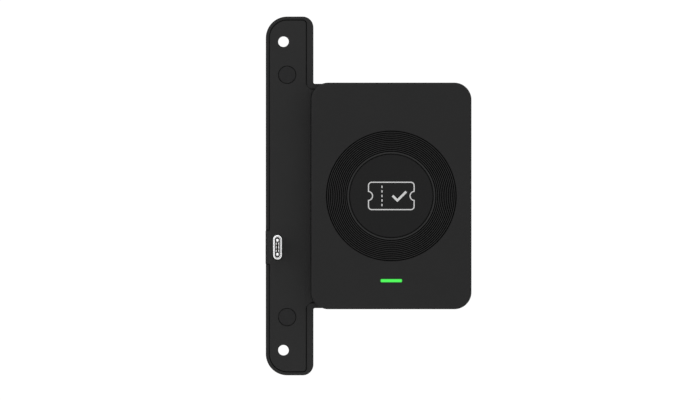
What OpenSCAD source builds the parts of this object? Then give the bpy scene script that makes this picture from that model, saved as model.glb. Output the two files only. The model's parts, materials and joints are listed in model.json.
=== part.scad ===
// Contactless ticket validator for a host terminal.
// A slim mounting bar screws on behind the edge of the terminal and plugs into it,
// and the reader head stands beside the terminal with its target facing the passenger.
//
// Frame: X to the right, Y into the object, Z up. The passenger looks along +Y.
// The origin is half way between the two mounting holes, on the bar's front face,
// which is the face that the terminal lies on.

/* [Mounting bar] */
// Width of the bar
bar_w = 17.8; // [16.6:0.1:24]
// Height of the bar
bar_h = 134.2; // [110:0.1:180]
// Depth of the bar, front face to rear face
bar_depth = 8; // [8:0.1:12]
// Radius of the two corners on the outer side
bar_outer_r = 8; // [5:0.1:8]
// Radius of the two corners on the head side
bar_inner_r = 4; // [3.5:0.1:6]
// Width of the rim round the bar cover on the outer side and at the ends
rim_w = 1.1; // [0.8:0.1:1.6]
// Width of the rim round the bar cover on the head side
rim_inner_w = 2.4; // [2:0.1:2.8]
// Width of the rim above and below the cover's end under the head
rim_tab_w = 1.8; // [1.4:0.1:2.6]
// Thickness of the bar cover
cover_t = 1.6; // [1.2:0.1:2]
// Shadow gap all round the bar cover
cover_gap = 0.4; // [0.15:0.05:0.5]
// Radius of the hollow corners where the bar cover runs out under the head
cover_fillet_r = 2.2; // [1.5:0.1:4]
// Width of the ledge that the bar cover lies on
ledge_w = 0.8; // [0.6:0.1:1]

/* [Mounting holes] */
// Diameter of the holes for the mounting screws
hole_d = 4; // [3.4:0.1:4.5]
// Distance of the holes from the bar's outer side
hole_inset = 6.6; // [6:0.1:7]
// Distance of the holes from the bar's ends
hole_end = 9.35; // [8.5:0.05:12]
// Wall of the steel sleeve behind the cover
sleeve_wall = 0.85; // [0.6:0.05:1]

/* [Reader head] */
// Width of the head
head_w = 59.8; // [49.8:0.1:75]
// Height of the head
head_h = 84.5; // [78:0.5:105]
// How far the head's face stands in front of the bar
head_rise = 9.5; // [9:0.1:16]
// Corner radius of the head
head_r = 6.4; // [4:0.1:9]
// Radius of the front edge of the head
head_edge_r = 0.8; // [0.4:0.1:1]
// How far the head stands over the bar
head_overlap = 0.8; // [0.4:0.1:1.2]
// Side wall of the head cover and of the rear housing
wall = 2; // [1.8:0.1:2.4]
// Front wall of the head cover
front_t = 2.2; // [2.1:0.1:3]
// Rear wall of the rear housing
floor_t = 2; // [1.6:0.1:2.2]
// How far the rear housing stands back inside the head's outline
base_inset = 0.3; // [0.2:0.1:0.5]
// Depth of the step that the head cover's wall stands in
seat_drop = 0.3; // [0.2:0.1:0.6]

/* [Target] */
// Radius of the grooved ring
ring_r = 24.35; // [19.8:0.05:24.5]
// Depth of the recess that holds the ring and the disc
ring_depth = 1.2; // [1:0.1:1.3]
// Number of grooves
groove_count = 12; // [6:1:12]
// Distance from groove to groove
groove_pitch = 0.68; // [0.5:0.01:0.72]
// Width of a groove
groove_w = 0.44; // [0.2:0.01:0.45]
// Depth of a groove
groove_depth = 0.8; // [0.3:0.1:0.8]
// Width of the smooth lip inside the grooves
ring_lip_w = 0.58; // [0.4:0.01:1]
// Gap between the lip and the symbol disc
disc_gap = 0.36; // [0.1:0.01:0.4]
// Thickness of the symbol disc
disc_t = 0.8; // [0.5:0.1:0.9]
// Thickness of the adhesive under the disc
adhesive_t = 0.2; // [0.1:0.05:0.25]

/* [Ticket symbol] */
// Width of the printed ticket
ticket_w = 17.4; // [14:0.1:20]
// Height of the printed ticket
ticket_h = 10.6; // [8:0.1:12]
// Width of a thin printed line
line_w = 0.4; // [0.3:0.05:0.6]
// Width of the printed tick
tick_w = 0.85; // [0.5:0.05:1.2]
// Thickness of the print
ink_t = 0.06; // [0.05:0.01:0.1]

/* [Indicator] */
// Width of the light window
lens_w = 8.3; // [6:0.1:10]
// Height of the light window
lens_h = 1.4; // [1:0.1:2]
// Distance of the window below the middle of the head
lens_drop = 31.6; // [30.5:0.1:32]

/* [Plug] */
// Distance of the plug from the bar's outer side
plug_inset = 4.4; // [4.2:0.1:4.7]
// Distance of the plug below the middle of the bar
plug_drop = 19.2; // [14:0.1:24]
// How far the plug stands in front of the bar
plug_rise = 6.6; // [5.5:0.1:8]
// Long side of the plug's shell
plug_w = 8.25; // [8.2:0.05:8.3]
// Short side of the plug's shell
plug_t = 2.4; // [2.35:0.05:2.45]
// How far the metal collar stands in front of the bar
collar_rise = 0.8; // [0.4:0.1:1.2]
// Wall of the metal collar
collar_wall = 0.45; // [0.4:0.05:0.55]
// Height of the pad round the plug that runs out to the bar's side
pad_h = 12.4; // [12:0.1:16]

/* [Screw caps] */
// Diameter of the wells in the bar cover
well_d = 6.8; // [6:0.1:7.4]
// Gap round a cap
cap_gap = 0.25; // [0.1:0.01:0.3]
// Thickness of a cap
cap_t = 1.5; // [1.2:0.1:2]
// Distance of the caps from the bar's outer side
cap_inset = 8; // [7.6:0.1:8.6]
// Distance of the caps from the bar's ends
cap_end = 21.8; // [19:0.1:26]

/* [Fasteners] */
// Diameter of the case screws
screw_d = 2.5; // [2:0.1:2.6]
// Diameter of the case screws' heads
screw_head_d = 4.5; // [4:0.1:4.8]
// Height of the case screws' heads
screw_head_h = 1.3; // [1:0.1:1.6]
// Diameter of the circuit board screws
board_screw_d = 2; // [1.6:0.1:2.2]
// Diameter of the threaded inserts
insert_d = 3.8; // [3.4:0.1:4]
// Length of the head's threaded inserts
head_insert_l = 4; // [3:0.1:5]
// Clearance round a screw's shank
shank_clear = 0.15; // [0.1:0.05:0.25]
// Clearance between parts that only pass each other
pass_clear = 0.2; // [0.15:0.05:0.3]
// Clearance of a close fit
fit_clear = 0.03; // [0.02:0.01:0.05]

/* [Electronics] */
// Thickness of the main circuit board
board_t = 1.6; // [1:0.1:1.6]
// Height of the posts under the main circuit board
post_h = 3.6; // [3.2:0.1:4.2]
// Thickness of the stiffener plate
stiffener_t = 1.2; // [0.8:0.1:1.2]
// Thickness of the plug's circuit board
plug_board_t = 1.2; // [0.8:0.1:1.2]
// Thickness of the insulating film under the plug's circuit board
film_t = 0.2; // [0.1:0.05:0.3]
// Thickness of the antenna board
antenna_t = 0.8; // [0.4:0.1:1]
// Turns of the antenna coil
coil_turns = 4; // [2:1:5]
// Width of the coil's track
track_w = 0.8; // [0.5:0.1:1]
// Space between two tracks
track_space = 0.6; // [0.4:0.1:0.8]
// Thickness of the coil's track
track_t = 0.1; // [0.08:0.01:0.15]
// Thickness of the ferrite sheet
ferrite_t = 0.3; // [0.2:0.1:0.5]
// Diameter of the buzzer
buzzer_d = 9.6; // [8:0.1:11]
// Height of the buzzer
buzzer_h = 4; // [3:0.1:4.5]
// Height of the shield can
can_h = 2; // [1.5:0.1:2.5]
// Thickness of the ribbon cable
ribbon_t = 0.3; // [0.2:0.05:0.4]
// Width of the ribbon cable
ribbon_w = 6; // [4:0.5:7]

/* [Hidden] */
$fn = 96;

// Depths, from the passenger's side to the back
face_y = -head_rise;
inside_y = face_y + front_t;
floor_y = bar_depth - floor_t;
recess_y = face_y + ring_depth;
over = 1; // how far a cutter runs past a face

// Bar
bar_x0 = -hole_inset;
bar_x1 = bar_x0 + bar_w;
bar_z = bar_h / 2;
hole_z = bar_z - hole_end;
cap_x = bar_x0 + cap_inset;
cap_z = bar_z - cap_end;
pocket_x0 = bar_x0 + rim_w;
pocket_x1 = bar_x1 - rim_inner_w;
cavity_inset = rim_w + cover_gap + ledge_w;
cavity_x0 = bar_x0 + cavity_inset;
cavity_x1 = pocket_x1 - cover_gap - ledge_w;
cavity_z = bar_z - cavity_inset;

// Head
head_x0 = bar_x1 - head_overlap;
head_x1 = head_x0 + head_w;
head_x = (head_x0 + head_x1) / 2;
head_z = head_h / 2;
tray_x0 = bar_x1 - 2;
tray_z = head_z - base_inset;
tray_hollow_inset = wall + 0.5;
tray_corner_r = 0.6;
tab_z = tray_z - rim_tab_w;
tab_x1 = head_x0 + wall + 1;
neck_z = tab_z - 7.8;
seat_clear = 0.1;
label_w = 42;
label_h = 24;
label_depth = 0.3;
label_r = 2;

// Alignment lip inside the head cover's wall
lip_clear = 0.1;
lip_w = 1;
lip_h = 1.2;

// Gasket in the end of the head cover's wall
gasket_w = 0.9;
gasket_h = 0.8;

// Target
ring_fit_r = ring_r - fit_clear;
lip_outer_r = ring_fit_r - (groove_count - 1) * groove_pitch - groove_w;
disc_hole_r = lip_outer_r - ring_lip_w;
disc_r = disc_hole_r - disc_gap;
disc_y = recess_y - adhesive_t - disc_t;

// Head fasteners: the bosses stand inside the alignment lip
boss_d = insert_d + 2.4;
boss_x = head_w / 2 - wall - lip_clear - lip_w - boss_d / 2 - 0.3;
boss_z = head_z - wall - lip_clear - lip_w - boss_d / 2 - 0.3;
counterbore_d = screw_head_d + 0.5;
head_screw_seat_y = bar_depth - 3;
head_screw_l = 8;

// Stack in a screw cap's well
bar_screw_top_y = cap_t + pass_clear;
bar_screw_seat_y = bar_screw_top_y + screw_head_h;
cup_floor_t = 1;
cup_y = bar_screw_seat_y + cup_floor_t;
cup_wall = 0.9;
bar_pillar_d = insert_d + 1.8;
bar_insert_end_y = bar_depth - 0.9;
bar_screw_l = bar_insert_end_y - bar_screw_seat_y - 0.3;
sleeve_r = hole_d / 2 + sleeve_wall;
sleeve_boss_r = sleeve_r + 0.8;

// Stiffener plate
stiffener_y = floor_y - stiffener_t;
stiffener_z = hole_z - sleeve_boss_r - 1.5;
arm_x1 = head_x0 + 19;
arm_z = 13;
stiffener_screw_h = 1;
stiffener_screw_x = arm_x1 - 6;
stiffener_screw_z = arm_z - 5;

// Main board, between the head's bosses
board_y = floor_y - post_h;
board_front_y = board_y - board_t;
board_half_w = head_w / 2 - wall - lip_clear - lip_w - 2;
board_half_h = boss_z - boss_d / 2 - 1.2;
board_tongue_w = 2 * (boss_x - boss_d / 2 - 1);
board_tongue_z = lens_drop + 3.5;
board_screw_x = board_half_w - 3;
board_screw_z = board_half_h - 3;
board_screw_head_d = board_screw_d * 1.9;
board_screw_head_h = 1.2;
post_d = board_screw_d + 3;

// Plug and its board
plug_x = bar_x0 + plug_inset;
plug_z = -plug_drop;
plug_board_back_y = stiffener_y - film_t;
plug_board_y = plug_board_back_y - plug_board_t;
plug_board_x0 = cavity_x0 + pass_clear;
plug_board_w = 7.6;
plug_board_half_h = 11;
plug_screw_x = plug_board_x0 + plug_board_w / 2;
plug_screw_z = 8.8;
plug_screw_l = plug_board_t + film_t + stiffener_t + 0.6;
plug_screw_head_d = 3.2;
plug_screw_head_h = 0.9;
plug_wall = 0.25;
plug_inner_w = plug_w - 2 * plug_wall;
plug_inner_t = plug_t - 2 * plug_wall;
collar_w = plug_w + 2 * (fit_clear + collar_wall);
collar_t = plug_t + 2 * (fit_clear + collar_wall);
slot_w = 6.7;
slot_t = 1.3;
slot_front_y = -plug_rise + 0.3;
slot_depth = 5.2;
latch_w = 1.4;
latch_y = slot_front_y + 0.15;
spring_count = 3;
spring_pitch = 1.3;
spring_w = 1;
spring_t = 0.4;
spring_y0 = slot_front_y + 0.15;
spring_y1 = slot_front_y + 1.6;
contact_count = 8;
contact_pitch = 0.5;
contact_w = 0.28;
contact_t = 0.25;
contact_y = spring_y1 + 0.3;
pad_proud = 0.1;

// Ribbon cable between the two sockets
socket_h = 1.2;
socket_end = 1;
socket_fit = 0.05;
ribbon_hold = 1.4;
plug_socket_x0 = plug_x + collar_t / 2 + pass_clear;
plug_socket_x1 = plug_board_x0 + plug_board_w - 0.1;
board_x0 = head_x - board_half_w;
board_socket_x0 = board_x0 + 0.6;
board_socket_w = 4.4;
board_socket_h = 1.8;
board_hold = 2;
ribbon_straight = 0.8;
ribbon_y0 = plug_board_y - socket_h / 2;
ribbon_y1 = board_y + board_socket_h / 2;
ribbon_steps = 16;

// Antenna stack on the inside of the front wall
antenna_half_w = min(ring_r + 0.3, board_half_w);
antenna_half_h = lens_drop - 4.2;
antenna_back_y = inside_y + antenna_t;
coil_back_y = antenna_back_y + track_t;
coil_margin = 1;
ferrite_margin = 2.5;
pin_space = 4;
pin_d = 1;
pin_z = antenna_half_h - 1.25;
frame_rib_w = 1;
frame_rib_h = 1;

// Components on the main board
can_w = 21;
can_z = 4;
can_skin = 0.3;
chip_t = 0.9;
controller_w = 7;
side_chip_x = head_x + can_w / 2 + 5;
side_chip_w = 5;
driver_chip_w = 4;
small_part_w = 0.9;
small_part_l = 1.7;
small_part_h = 0.7;
small_part_pitch = 2.5;
small_row_z = 19;
crystal_w = 6;
crystal_l = 3;
crystal_h = 1;
crystal_z = -14;
led_w = 1.6;
led_d = 0.8;
led_h = 0.6;
led_pitch = 2.2;
led_count = 3;
lens_flange = 0.9;
lens_flange_t = 1;
lens_back_y = board_front_y - led_h - 0.4;
foam_clear = 0.05;
foam_half = can_w / 2 - 1;
foam_r = 2;
buzzer_x = head_x - board_half_w + buzzer_d / 2 + 1.5;
buzzer_z = -17.5;
buzzer_hole_r = 1;
buzzer_hole_depth = 0.8;

// ---------------------------------------------------------------- shapes

// Draws a flat shape in the X-Z plane and gives it a depth from y0 to y1
module slab(y0, y1) {
    translate([0, y1, 0]) rotate([90, 0, 0]) linear_extrude(y1 - y0) children();
}

// Round bar along Y
module rod(x, z, y0, y1, r) {
    translate([x, y1, z]) rotate([90, 0, 0]) cylinder(h = y1 - y0, r = r);
}

// Rectangle with round corners, one radius for each side
module rounded(x0, x1, z0, z1, r0, r1) {
    polygon([
        [x0 + r0, z0], [x1 - r1, z0], [x1, z0 + r1], [x1, z1 - r1],
        [x1 - r1, z1], [x0 + r0, z1], [x0, z1 - r0], [x0, z0 + r0],
    ]);
    for (z = [z0 + r0, z1 - r0]) translate([x0 + r0, z]) circle(r0);
    for (z = [z0 + r1, z1 - r1]) translate([x1 - r1, z]) circle(r1);
}

// Long hole or bar with round ends, standing upright
module stadium(x, z, w, h) {
    translate([x - w / 2, z - (h - w) / 2]) square([w, h - w]);
    for (side = [-1, 1]) translate([x, z + side * (h - w) / 2]) circle(w / 2);
}

// Long hole or bar with round ends, lying down
module flat_stadium(x, z, w, h) {
    translate([x - (w - h) / 2, z - h / 2]) square([w - h, h]);
    for (side = [-1, 1]) translate([x + side * (w - h) / 2, z]) circle(h / 2);
}

module centred(x, z, w, h) {
    translate([x - w / 2, z - h / 2]) square([w, h]);
}

module at_bosses() {
    for (sx = [-1, 1], sz = [-1, 1]) translate([head_x + sx * boss_x, 0, sz * boss_z]) children();
}

module at_board_screws() {
    for (sx = [-1, 1], sz = [-1, 1])
        translate([head_x + sx * board_screw_x, 0, sz * board_screw_z]) children();
}

module at_stiffener_screws() {
    for (side = [-1, 1]) translate([stiffener_screw_x, 0, side * stiffener_screw_z]) children();
}

module at_plug_screws() {
    for (side = [-1, 1]) translate([plug_screw_x, 0, plug_z + side * plug_screw_z]) children();
}

// Screw along Y with its head towards -Y: dir = 1, or towards +Y: dir = -1
module screw(y, length, d, head_d, head_h, dir = 1) {
    head0 = dir > 0 ? y - head_h : y;
    shank0 = dir > 0 ? y : y - length;
    socket0 = dir > 0 ? head0 - over : head0 + head_h * 0.45;
    difference() {
        union() {
            rod(0, 0, head0, head0 + head_h, head_d / 2);
            rod(0, 0, shank0, shank0 + length, d / 2);
        }
        translate([0, socket0 + over + head_h * 0.55, 0]) rotate([90, 0, 0])
            cylinder(h = over + head_h * 0.55, d = head_d * 0.5, $fn = 6);
    }
}

// Round part of a screw joint at each end of the bar: a bar along Y above and below the middle
module rods_at(x, z, y0, y1, r) {
    for (side = [-1, 1]) rod(x, side * z, y0, y1, r);
}

// ---------------------------------------------------------------- outlines

module bar_outline() {
    rounded(bar_x0, bar_x1, -bar_z, bar_z, bar_outer_r, bar_inner_r);
}

module head_outline(inset) {
    r = head_r - inset;
    rounded(head_x0 + inset, head_x1 - inset, inset - head_z, head_z - inset, r, r);
}

// The tray behind the head runs square into the bar, with a small hollow corner
module tray_outline() {
    r = tray_corner_r;
    rounded(tray_x0, head_x1 - base_inset, -tray_z, tray_z, 1, head_r - base_inset);
    for (side = [-1, 1]) scale([1, side]) difference() {
        translate([bar_x1 - over, tray_z - over]) square(r + over);
        translate([bar_x1 + r, tray_z + r]) circle(r);
    }
}

// The bar cover's outline, or the pocket for it when grown by the gap
module cover_outline(grow) {
    x1 = pocket_x1 - cover_gap + grow;
    z1 = tab_z - cover_gap + grow;
    fillet = cover_fillet_r - grow;
    inset = rim_w + cover_gap - grow;
    inner_r = bar_inner_r - rim_inner_w - cover_gap + grow;
    rounded(bar_x0 + inset, x1, inset - bar_z, bar_z - inset, bar_outer_r - inset, inner_r);
    translate([x1 - over, -z1]) square([tab_x1 + grow - x1 + over, 2 * z1]);
    for (side = [-1, 1]) scale([1, side]) difference() {
        translate([x1 - over, z1 - over]) square(fillet + over);
        translate([x1 + fillet, z1 + fillet]) circle(fillet);
    }
}

// The pad round the plug, which breaks through the rim to the bar's side
module pad_outline(grow) {
    x0 = bar_x0 - pad_proud - grow * 4;
    translate([x0, plug_z - pad_h / 2 - grow]) square([pocket_x0 + over - x0, pad_h + 2 * grow]);
}

// The step that the head cover's wall stands in
module head_seat() {
    slab(-over, seat_drop) head_outline(-seat_clear);
}

// ---------------------------------------------------------------- casings

module rear_housing() color([0.16, 0.16, 0.165]) {
    difference() {
        union() {
            difference() {
                slab(0, bar_depth) {
                    bar_outline();
                    tray_outline();
                }
                slab(-over, cover_t) cover_outline(cover_gap);
                slab(-over, cover_t) pad_outline(cover_gap);
                slab(cover_t - over, floor_y)
                    rounded(cavity_x0, cavity_x1, -cavity_z, cavity_z, bar_outer_r - cavity_inset, 1);
                slab(-over, floor_y) head_outline(tray_hollow_inset);
                slab(cover_t - over, floor_y)
                    translate([cavity_x1 - over, -neck_z])
                        square([head_x0 + tray_hollow_inset + 2 * over - cavity_x1, 2 * neck_z]);
                head_seat();
            }
            alignment_lip();
            at_bosses() rod(0, 0, seat_drop, floor_y + over, boss_d / 2);
            at_board_screws() rod(0, 0, board_y, floor_y + over, post_d / 2);
            rods_at(0, hole_z, cover_t, floor_y + over, sleeve_boss_r);
            rods_at(cap_x, cap_z, cup_y, floor_y + over, bar_pillar_d / 2);
            floor_ribs();
        }
        at_bosses() {
            rod(0, 0, -over, bar_depth, screw_d / 2 + shank_clear);
            rod(0, 0, head_screw_seat_y, bar_depth + over, counterbore_d / 2);
        }
        at_board_screws() rod(0, 0, board_y - over, floor_y + 0.6, board_screw_d / 2 + fit_clear);
        at_stiffener_screws() rod(0, 0, floor_y - over, floor_y + 1.2, screw_d / 2 + fit_clear);
        rods_at(0, hole_z, -over, bar_depth + over, sleeve_r + fit_clear);
        rods_at(cap_x, cap_z, cup_y - over, bar_insert_end_y, insert_d / 2 + fit_clear);
        at_plug_screws() rod(0, 0, floor_y - over, floor_y + 0.8, board_screw_d / 2 + shank_clear);
        slab(bar_depth - label_depth, bar_depth + over)
            rounded(head_x - label_w / 2, head_x + label_w / 2, -label_h / 2, label_h / 2, label_r, label_r);
    }
}

// Lip on the rear housing that enters the head cover, open where the bar cover passes
module alignment_lip() {
    inset = wall + lip_clear;
    slab(seat_drop - lip_h, seat_drop + over) intersection() {
        difference() {
            head_outline(inset);
            head_outline(inset + lip_w);
        }
        translate([tab_x1 + 2, -head_z]) square([head_w, head_h]);
    }
}

// Low ribs that stiffen the tray's floor between the board's posts
module floor_ribs() {
    rib_t = 1;
    rib_h = 1.2;
    slab(floor_y - rib_h, floor_y + over) {
        for (x = [arm_x1 + 10, arm_x1 + 20])
            centred(x, 0, rib_t, 2 * board_screw_z - post_d - 2);
        for (side = [-1, 1])
            centred(head_x, side * (arm_z + 4), 2 * board_screw_x - 8, rib_t);
    }
}

module head_cover() color([0.17, 0.17, 0.17]) {
    difference() {
        union() {
            difference() {
                union() {
                    slab(face_y, seat_drop) head_outline(head_r / 2);
                    head_rim();
                }
                slab(inside_y, seat_drop + over) head_outline(wall);
            }
            at_bosses() rod(0, 0, inside_y - 0.5, seat_drop, boss_d / 2);
            antenna_frame();
            lens_collar();
        }
        rod(head_x, 0, face_y - over, recess_y, ring_r);
        slab(face_y - over, inside_y + over)
            flat_stadium(head_x, -lens_drop, lens_w + 2 * fit_clear, lens_h + 2 * fit_clear);
        at_bosses() rod(0, 0, seat_drop - head_insert_l - 1.2, seat_drop + over, insert_d / 2 + fit_clear);
        slab(seat_drop - gasket_h, seat_drop + over) gasket_outline(fit_clear);
    }
}

// Rim of the head with its round front edge: a bar along each side and a puck at each corner
module head_rim() {
    long = head_w - 2 * head_r;
    high = head_h - 2 * head_r;
    for (side = [0, 180]) translate([head_x, 0, 0]) rotate([0, side, 0]) {
        translate([head_w / 2, 0, -high / 2]) linear_extrude(high) edge_profile(head_r);
        translate([-long / 2, 0, head_h / 2]) rotate([90, 0, 90]) linear_extrude(long)
            mirror([1, -1]) edge_profile(head_r);
    }
    for (x = [head_x0 + head_r, head_x1 - head_r], side = [-1, 1])
        translate([x, 0, side * (head_z - head_r)]) rotate([-90, 0, 0])
            rotate_extrude() translate([head_r, 0]) edge_profile(head_r);
}

// Section of the rim: outer face at zero, depth upwards, inwards to the left
module edge_profile(w) {
    r = head_edge_r;
    polygon([[0, seat_drop], [0, face_y + r], [-r, face_y], [-w, face_y], [-w, seat_drop]]);
    translate([-r, face_y + r]) circle(r);
}

// Low rib that locates the antenna board
module antenna_frame() {
    w = 2 * (antenna_half_w + pass_clear);
    h = 2 * (antenna_half_h + pass_clear);
    slab(inside_y - 0.5, inside_y + frame_rib_h) difference() {
        centred(head_x, 0, w + 2 * frame_rib_w, h + 2 * frame_rib_w);
        centred(head_x, 0, w, h);
    }
}

// Walls above and below the light window's flange
module lens_collar() {
    flange_h = lens_h + 2 * lens_flange;
    for (side = [-1, 1])
        slab(inside_y - 0.5, inside_y + lens_flange_t)
            centred(head_x, -lens_drop + side * (flange_h / 2 + pass_clear + 0.3), lens_w, 0.6);
}

module gasket_outline(grow) {
    middle = wall / 2;
    difference() {
        head_outline(middle - gasket_w / 2 - grow);
        head_outline(middle + gasket_w / 2 + grow);
    }
}

module head_gasket() color([0.05, 0.05, 0.05]) {
    slab(seat_drop - gasket_h + fit_clear, seat_drop) gasket_outline(0);
}

module bar_cover() color([0.17, 0.17, 0.17]) {
    difference() {
        union() {
            slab(0, cover_t) {
                cover_outline(0);
                pad_outline(0);
            }
            rods_at(cap_x, cap_z, cover_t - 0.5, cup_y, well_d / 2 + cup_wall);
        }
        rods_at(cap_x, cap_z, -over, bar_screw_seat_y, well_d / 2);
        rods_at(cap_x, cap_z, 0, cup_y + over, screw_d / 2 + shank_clear);
        rods_at(0, hole_z, -over, cover_t + over, hole_d / 2);
        slab(-over, cover_t + over) stadium(plug_x, plug_z, collar_t + 2 * cap_gap, collar_w + 2 * cap_gap);
        head_seat();
    }
}

// ---------------------------------------------------------------- target

// The outermost groove is open to the wall of the recess
module ring_insert() color([0.07, 0.07, 0.07]) {
    groove_floor = ring_depth - groove_depth;
    rotate_about_target() {
        translate([disc_hole_r, 0]) square([ring_fit_r - disc_hole_r, groove_floor]);
        translate([disc_hole_r, 0]) square([lip_outer_r - disc_hole_r, ring_depth]);
        for (i = [1:groove_count - 1])
            translate([ring_fit_r - i * groove_pitch, 0]) square([groove_pitch - groove_w, ring_depth]);
    }
}

// Turns a section, radius to the right and front upwards, about the target's axis
module rotate_about_target() {
    translate([head_x, recess_y, 0]) rotate([90, 0, 0]) rotate_extrude() children();
}

module symbol_disc() color([0.14, 0.14, 0.14]) {
    rod(head_x, 0, disc_y, recess_y - adhesive_t, disc_r);
}

module disc_adhesive() color([0.75, 0.72, 0.6]) {
    rod(head_x, 0, recess_y - adhesive_t, recess_y, disc_r - 0.5);
}

// Ticket with a half-round bite in each short side, a torn line and a tick
module ticket_symbol() color([0.82, 0.82, 0.82]) {
    slab(disc_y - ink_t, disc_y) translate([head_x, 0]) {
        difference() {
            ticket_outline(0);
            ticket_outline(line_w);
        }
        for (i = [-2:2]) centred(-ticket_w * 0.2, i * ticket_h * 0.16, line_w, ticket_h * 0.08);
        translate([ticket_w * 0.13, -ticket_h * 0.16]) {
            rotate(45) centred(ticket_h * 0.2, 0, ticket_h * 0.4 + tick_w, tick_w);
            rotate(135) centred(ticket_h * 0.1, 0, ticket_h * 0.2 + tick_w, tick_w);
        }
    }
}

module ticket_outline(inset) {
    corner_r = 1.4;
    bite_r = 1.5;
    w = ticket_w / 2 - inset;
    h = ticket_h / 2 - inset;
    difference() {
        rounded(-w, w, -h, h, corner_r - inset, corner_r - inset);
        for (side = [-1, 1]) translate([side * ticket_w / 2, 0]) circle(bite_r + inset);
    }
}

// ---------------------------------------------------------------- indicator

module light_pipe() color([0.25, 0.95, 0.3]) {
    slab(face_y, inside_y + over / 2) flat_stadium(head_x, -lens_drop, lens_w, lens_h);
    slab(inside_y, inside_y + lens_flange_t)
        centred(head_x, -lens_drop, lens_w - 0.6, lens_h + 2 * lens_flange);
    slab(inside_y, lens_back_y) centred(head_x, -lens_drop, lens_w - 1.6, lens_h);
}

module light_shroud() color([0.04, 0.04, 0.04]) {
    slab(inside_y + lens_flange_t + pass_clear, board_front_y) difference() {
        centred(head_x, -lens_drop, lens_w + 1.2, lens_h + 1.6 + 2 * pass_clear);
        centred(head_x, -lens_drop, lens_w - 1.6 + 2 * pass_clear, lens_h + 2 * pass_clear);
    }
}

module status_leds() color([0.9, 0.9, 0.8]) {
    for (i = [0:led_count - 1])
        slab(board_front_y - led_h, board_front_y)
            centred(head_x + (i - (led_count - 1) / 2) * led_pitch, -lens_drop, led_w, led_d);
}

// ---------------------------------------------------------------- screw caps and fasteners

// Flush face with a shadow line round it, and a skirt that grips the well
module screw_cap(z) color([0.12, 0.12, 0.12]) {
    face_t = 0.5;
    difference() {
        union() {
            rod(cap_x, z, 0, cap_t, well_d / 2 - cap_gap);
            rod(cap_x, z, face_t, cap_t, well_d / 2 - fit_clear);
        }
        rod(cap_x, z, face_t + 0.3, cap_t + over, well_d / 2 - 1.2);
    }
}

module screw_cap_upper() screw_cap(cap_z);
module screw_cap_lower() screw_cap(-cap_z);

module bar_screws() color([0.6, 0.6, 0.62]) {
    for (side = [-1, 1]) translate([cap_x, 0, side * cap_z])
        screw(bar_screw_seat_y, bar_screw_l, screw_d, screw_head_d, screw_head_h);
}

module bar_inserts() color([0.78, 0.62, 0.3]) {
    difference() {
        rods_at(cap_x, cap_z, cup_y, bar_insert_end_y, insert_d / 2);
        rods_at(cap_x, cap_z, cup_y - over, bar_insert_end_y + over, screw_d / 2 + fit_clear);
    }
}

module mounting_sleeves() color([0.55, 0.55, 0.57]) {
    difference() {
        rods_at(0, hole_z, cover_t, bar_depth, sleeve_r);
        rods_at(0, hole_z, cover_t - over, bar_depth + over, hole_d / 2);
    }
}

module head_screws() color([0.3, 0.3, 0.31]) {
    at_bosses() screw(head_screw_seat_y, head_screw_l, screw_d, screw_head_d, screw_head_h, -1);
}

module head_inserts() color([0.78, 0.62, 0.3]) {
    at_bosses() difference() {
        rod(0, 0, seat_drop - head_insert_l, seat_drop, insert_d / 2);
        rod(0, 0, seat_drop - head_insert_l - over, seat_drop + over, screw_d / 2 + fit_clear);
    }
}

module board_screws() color([0.6, 0.6, 0.62]) {
    at_board_screws()
        screw(board_front_y, board_t + post_h, board_screw_d, board_screw_head_d, board_screw_head_h);
}

module stiffener_screws() color([0.6, 0.6, 0.62]) {
    at_stiffener_screws()
        screw(stiffener_y, stiffener_t + 1, screw_d, screw_head_d, stiffener_screw_h);
}

module plug_board_screws() color([0.6, 0.6, 0.62]) {
    at_plug_screws()
        screw(plug_board_y, plug_screw_l, board_screw_d, plug_screw_head_d, plug_screw_head_h);
}

// ---------------------------------------------------------------- bar's inside

module stiffener_plate() color([0.62, 0.63, 0.65]) {
    x0 = cavity_x0 + pass_clear;
    x1 = cavity_x1 - pass_clear;
    difference() {
        slab(stiffener_y, floor_y) {
            rounded(x0, x1, -stiffener_z, stiffener_z, 2, 1);
            translate([x1 - over, -arm_z]) square([arm_x1 - x1 + over, 2 * arm_z]);
        }
        for (side = [-1, 1])
            rod(cap_x, side * cap_z, stiffener_y - over, floor_y + over, bar_pillar_d / 2 + pass_clear);
        at_stiffener_screws() rod(0, 0, stiffener_y - over, floor_y + over, screw_d / 2 + shank_clear);
        plug_screw_holes(stiffener_y, floor_y);
    }
}

module plug_board() color([0.1, 0.33, 0.2]) {
    difference() {
        slab(plug_board_y, plug_board_back_y) plug_board_outline();
        plug_screw_holes(plug_board_y, plug_board_back_y);
    }
}

// Holes for the plug board's screws through one layer
module plug_screw_holes(y0, y1) {
    at_plug_screws() rod(0, 0, y0 - over, y1 + over, board_screw_d / 2 + fit_clear);
}

module insulating_film() color([0.8, 0.55, 0.15]) {
    difference() {
        slab(plug_board_back_y, stiffener_y) plug_board_outline();
        plug_screw_holes(plug_board_back_y, stiffener_y);
    }
}

module plug_board_outline() {
    centred(plug_board_x0 + plug_board_w / 2, plug_z, plug_board_w, 2 * plug_board_half_h);
}

module plug_collar() color([0.78, 0.78, 0.8]) {
    slab(-collar_rise, plug_board_y) difference() {
        stadium(plug_x, plug_z, collar_t, collar_w);
        stadium(plug_x, plug_z, plug_t + 2 * fit_clear, plug_w + 2 * fit_clear);
    }
}

module plug_shell() color([0.82, 0.82, 0.84]) {
    slab(-plug_rise, plug_board_y) difference() {
        stadium(plug_x, plug_z, plug_t, plug_w);
        stadium(plug_x, plug_z, plug_inner_t, plug_inner_w);
    }
}

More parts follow.
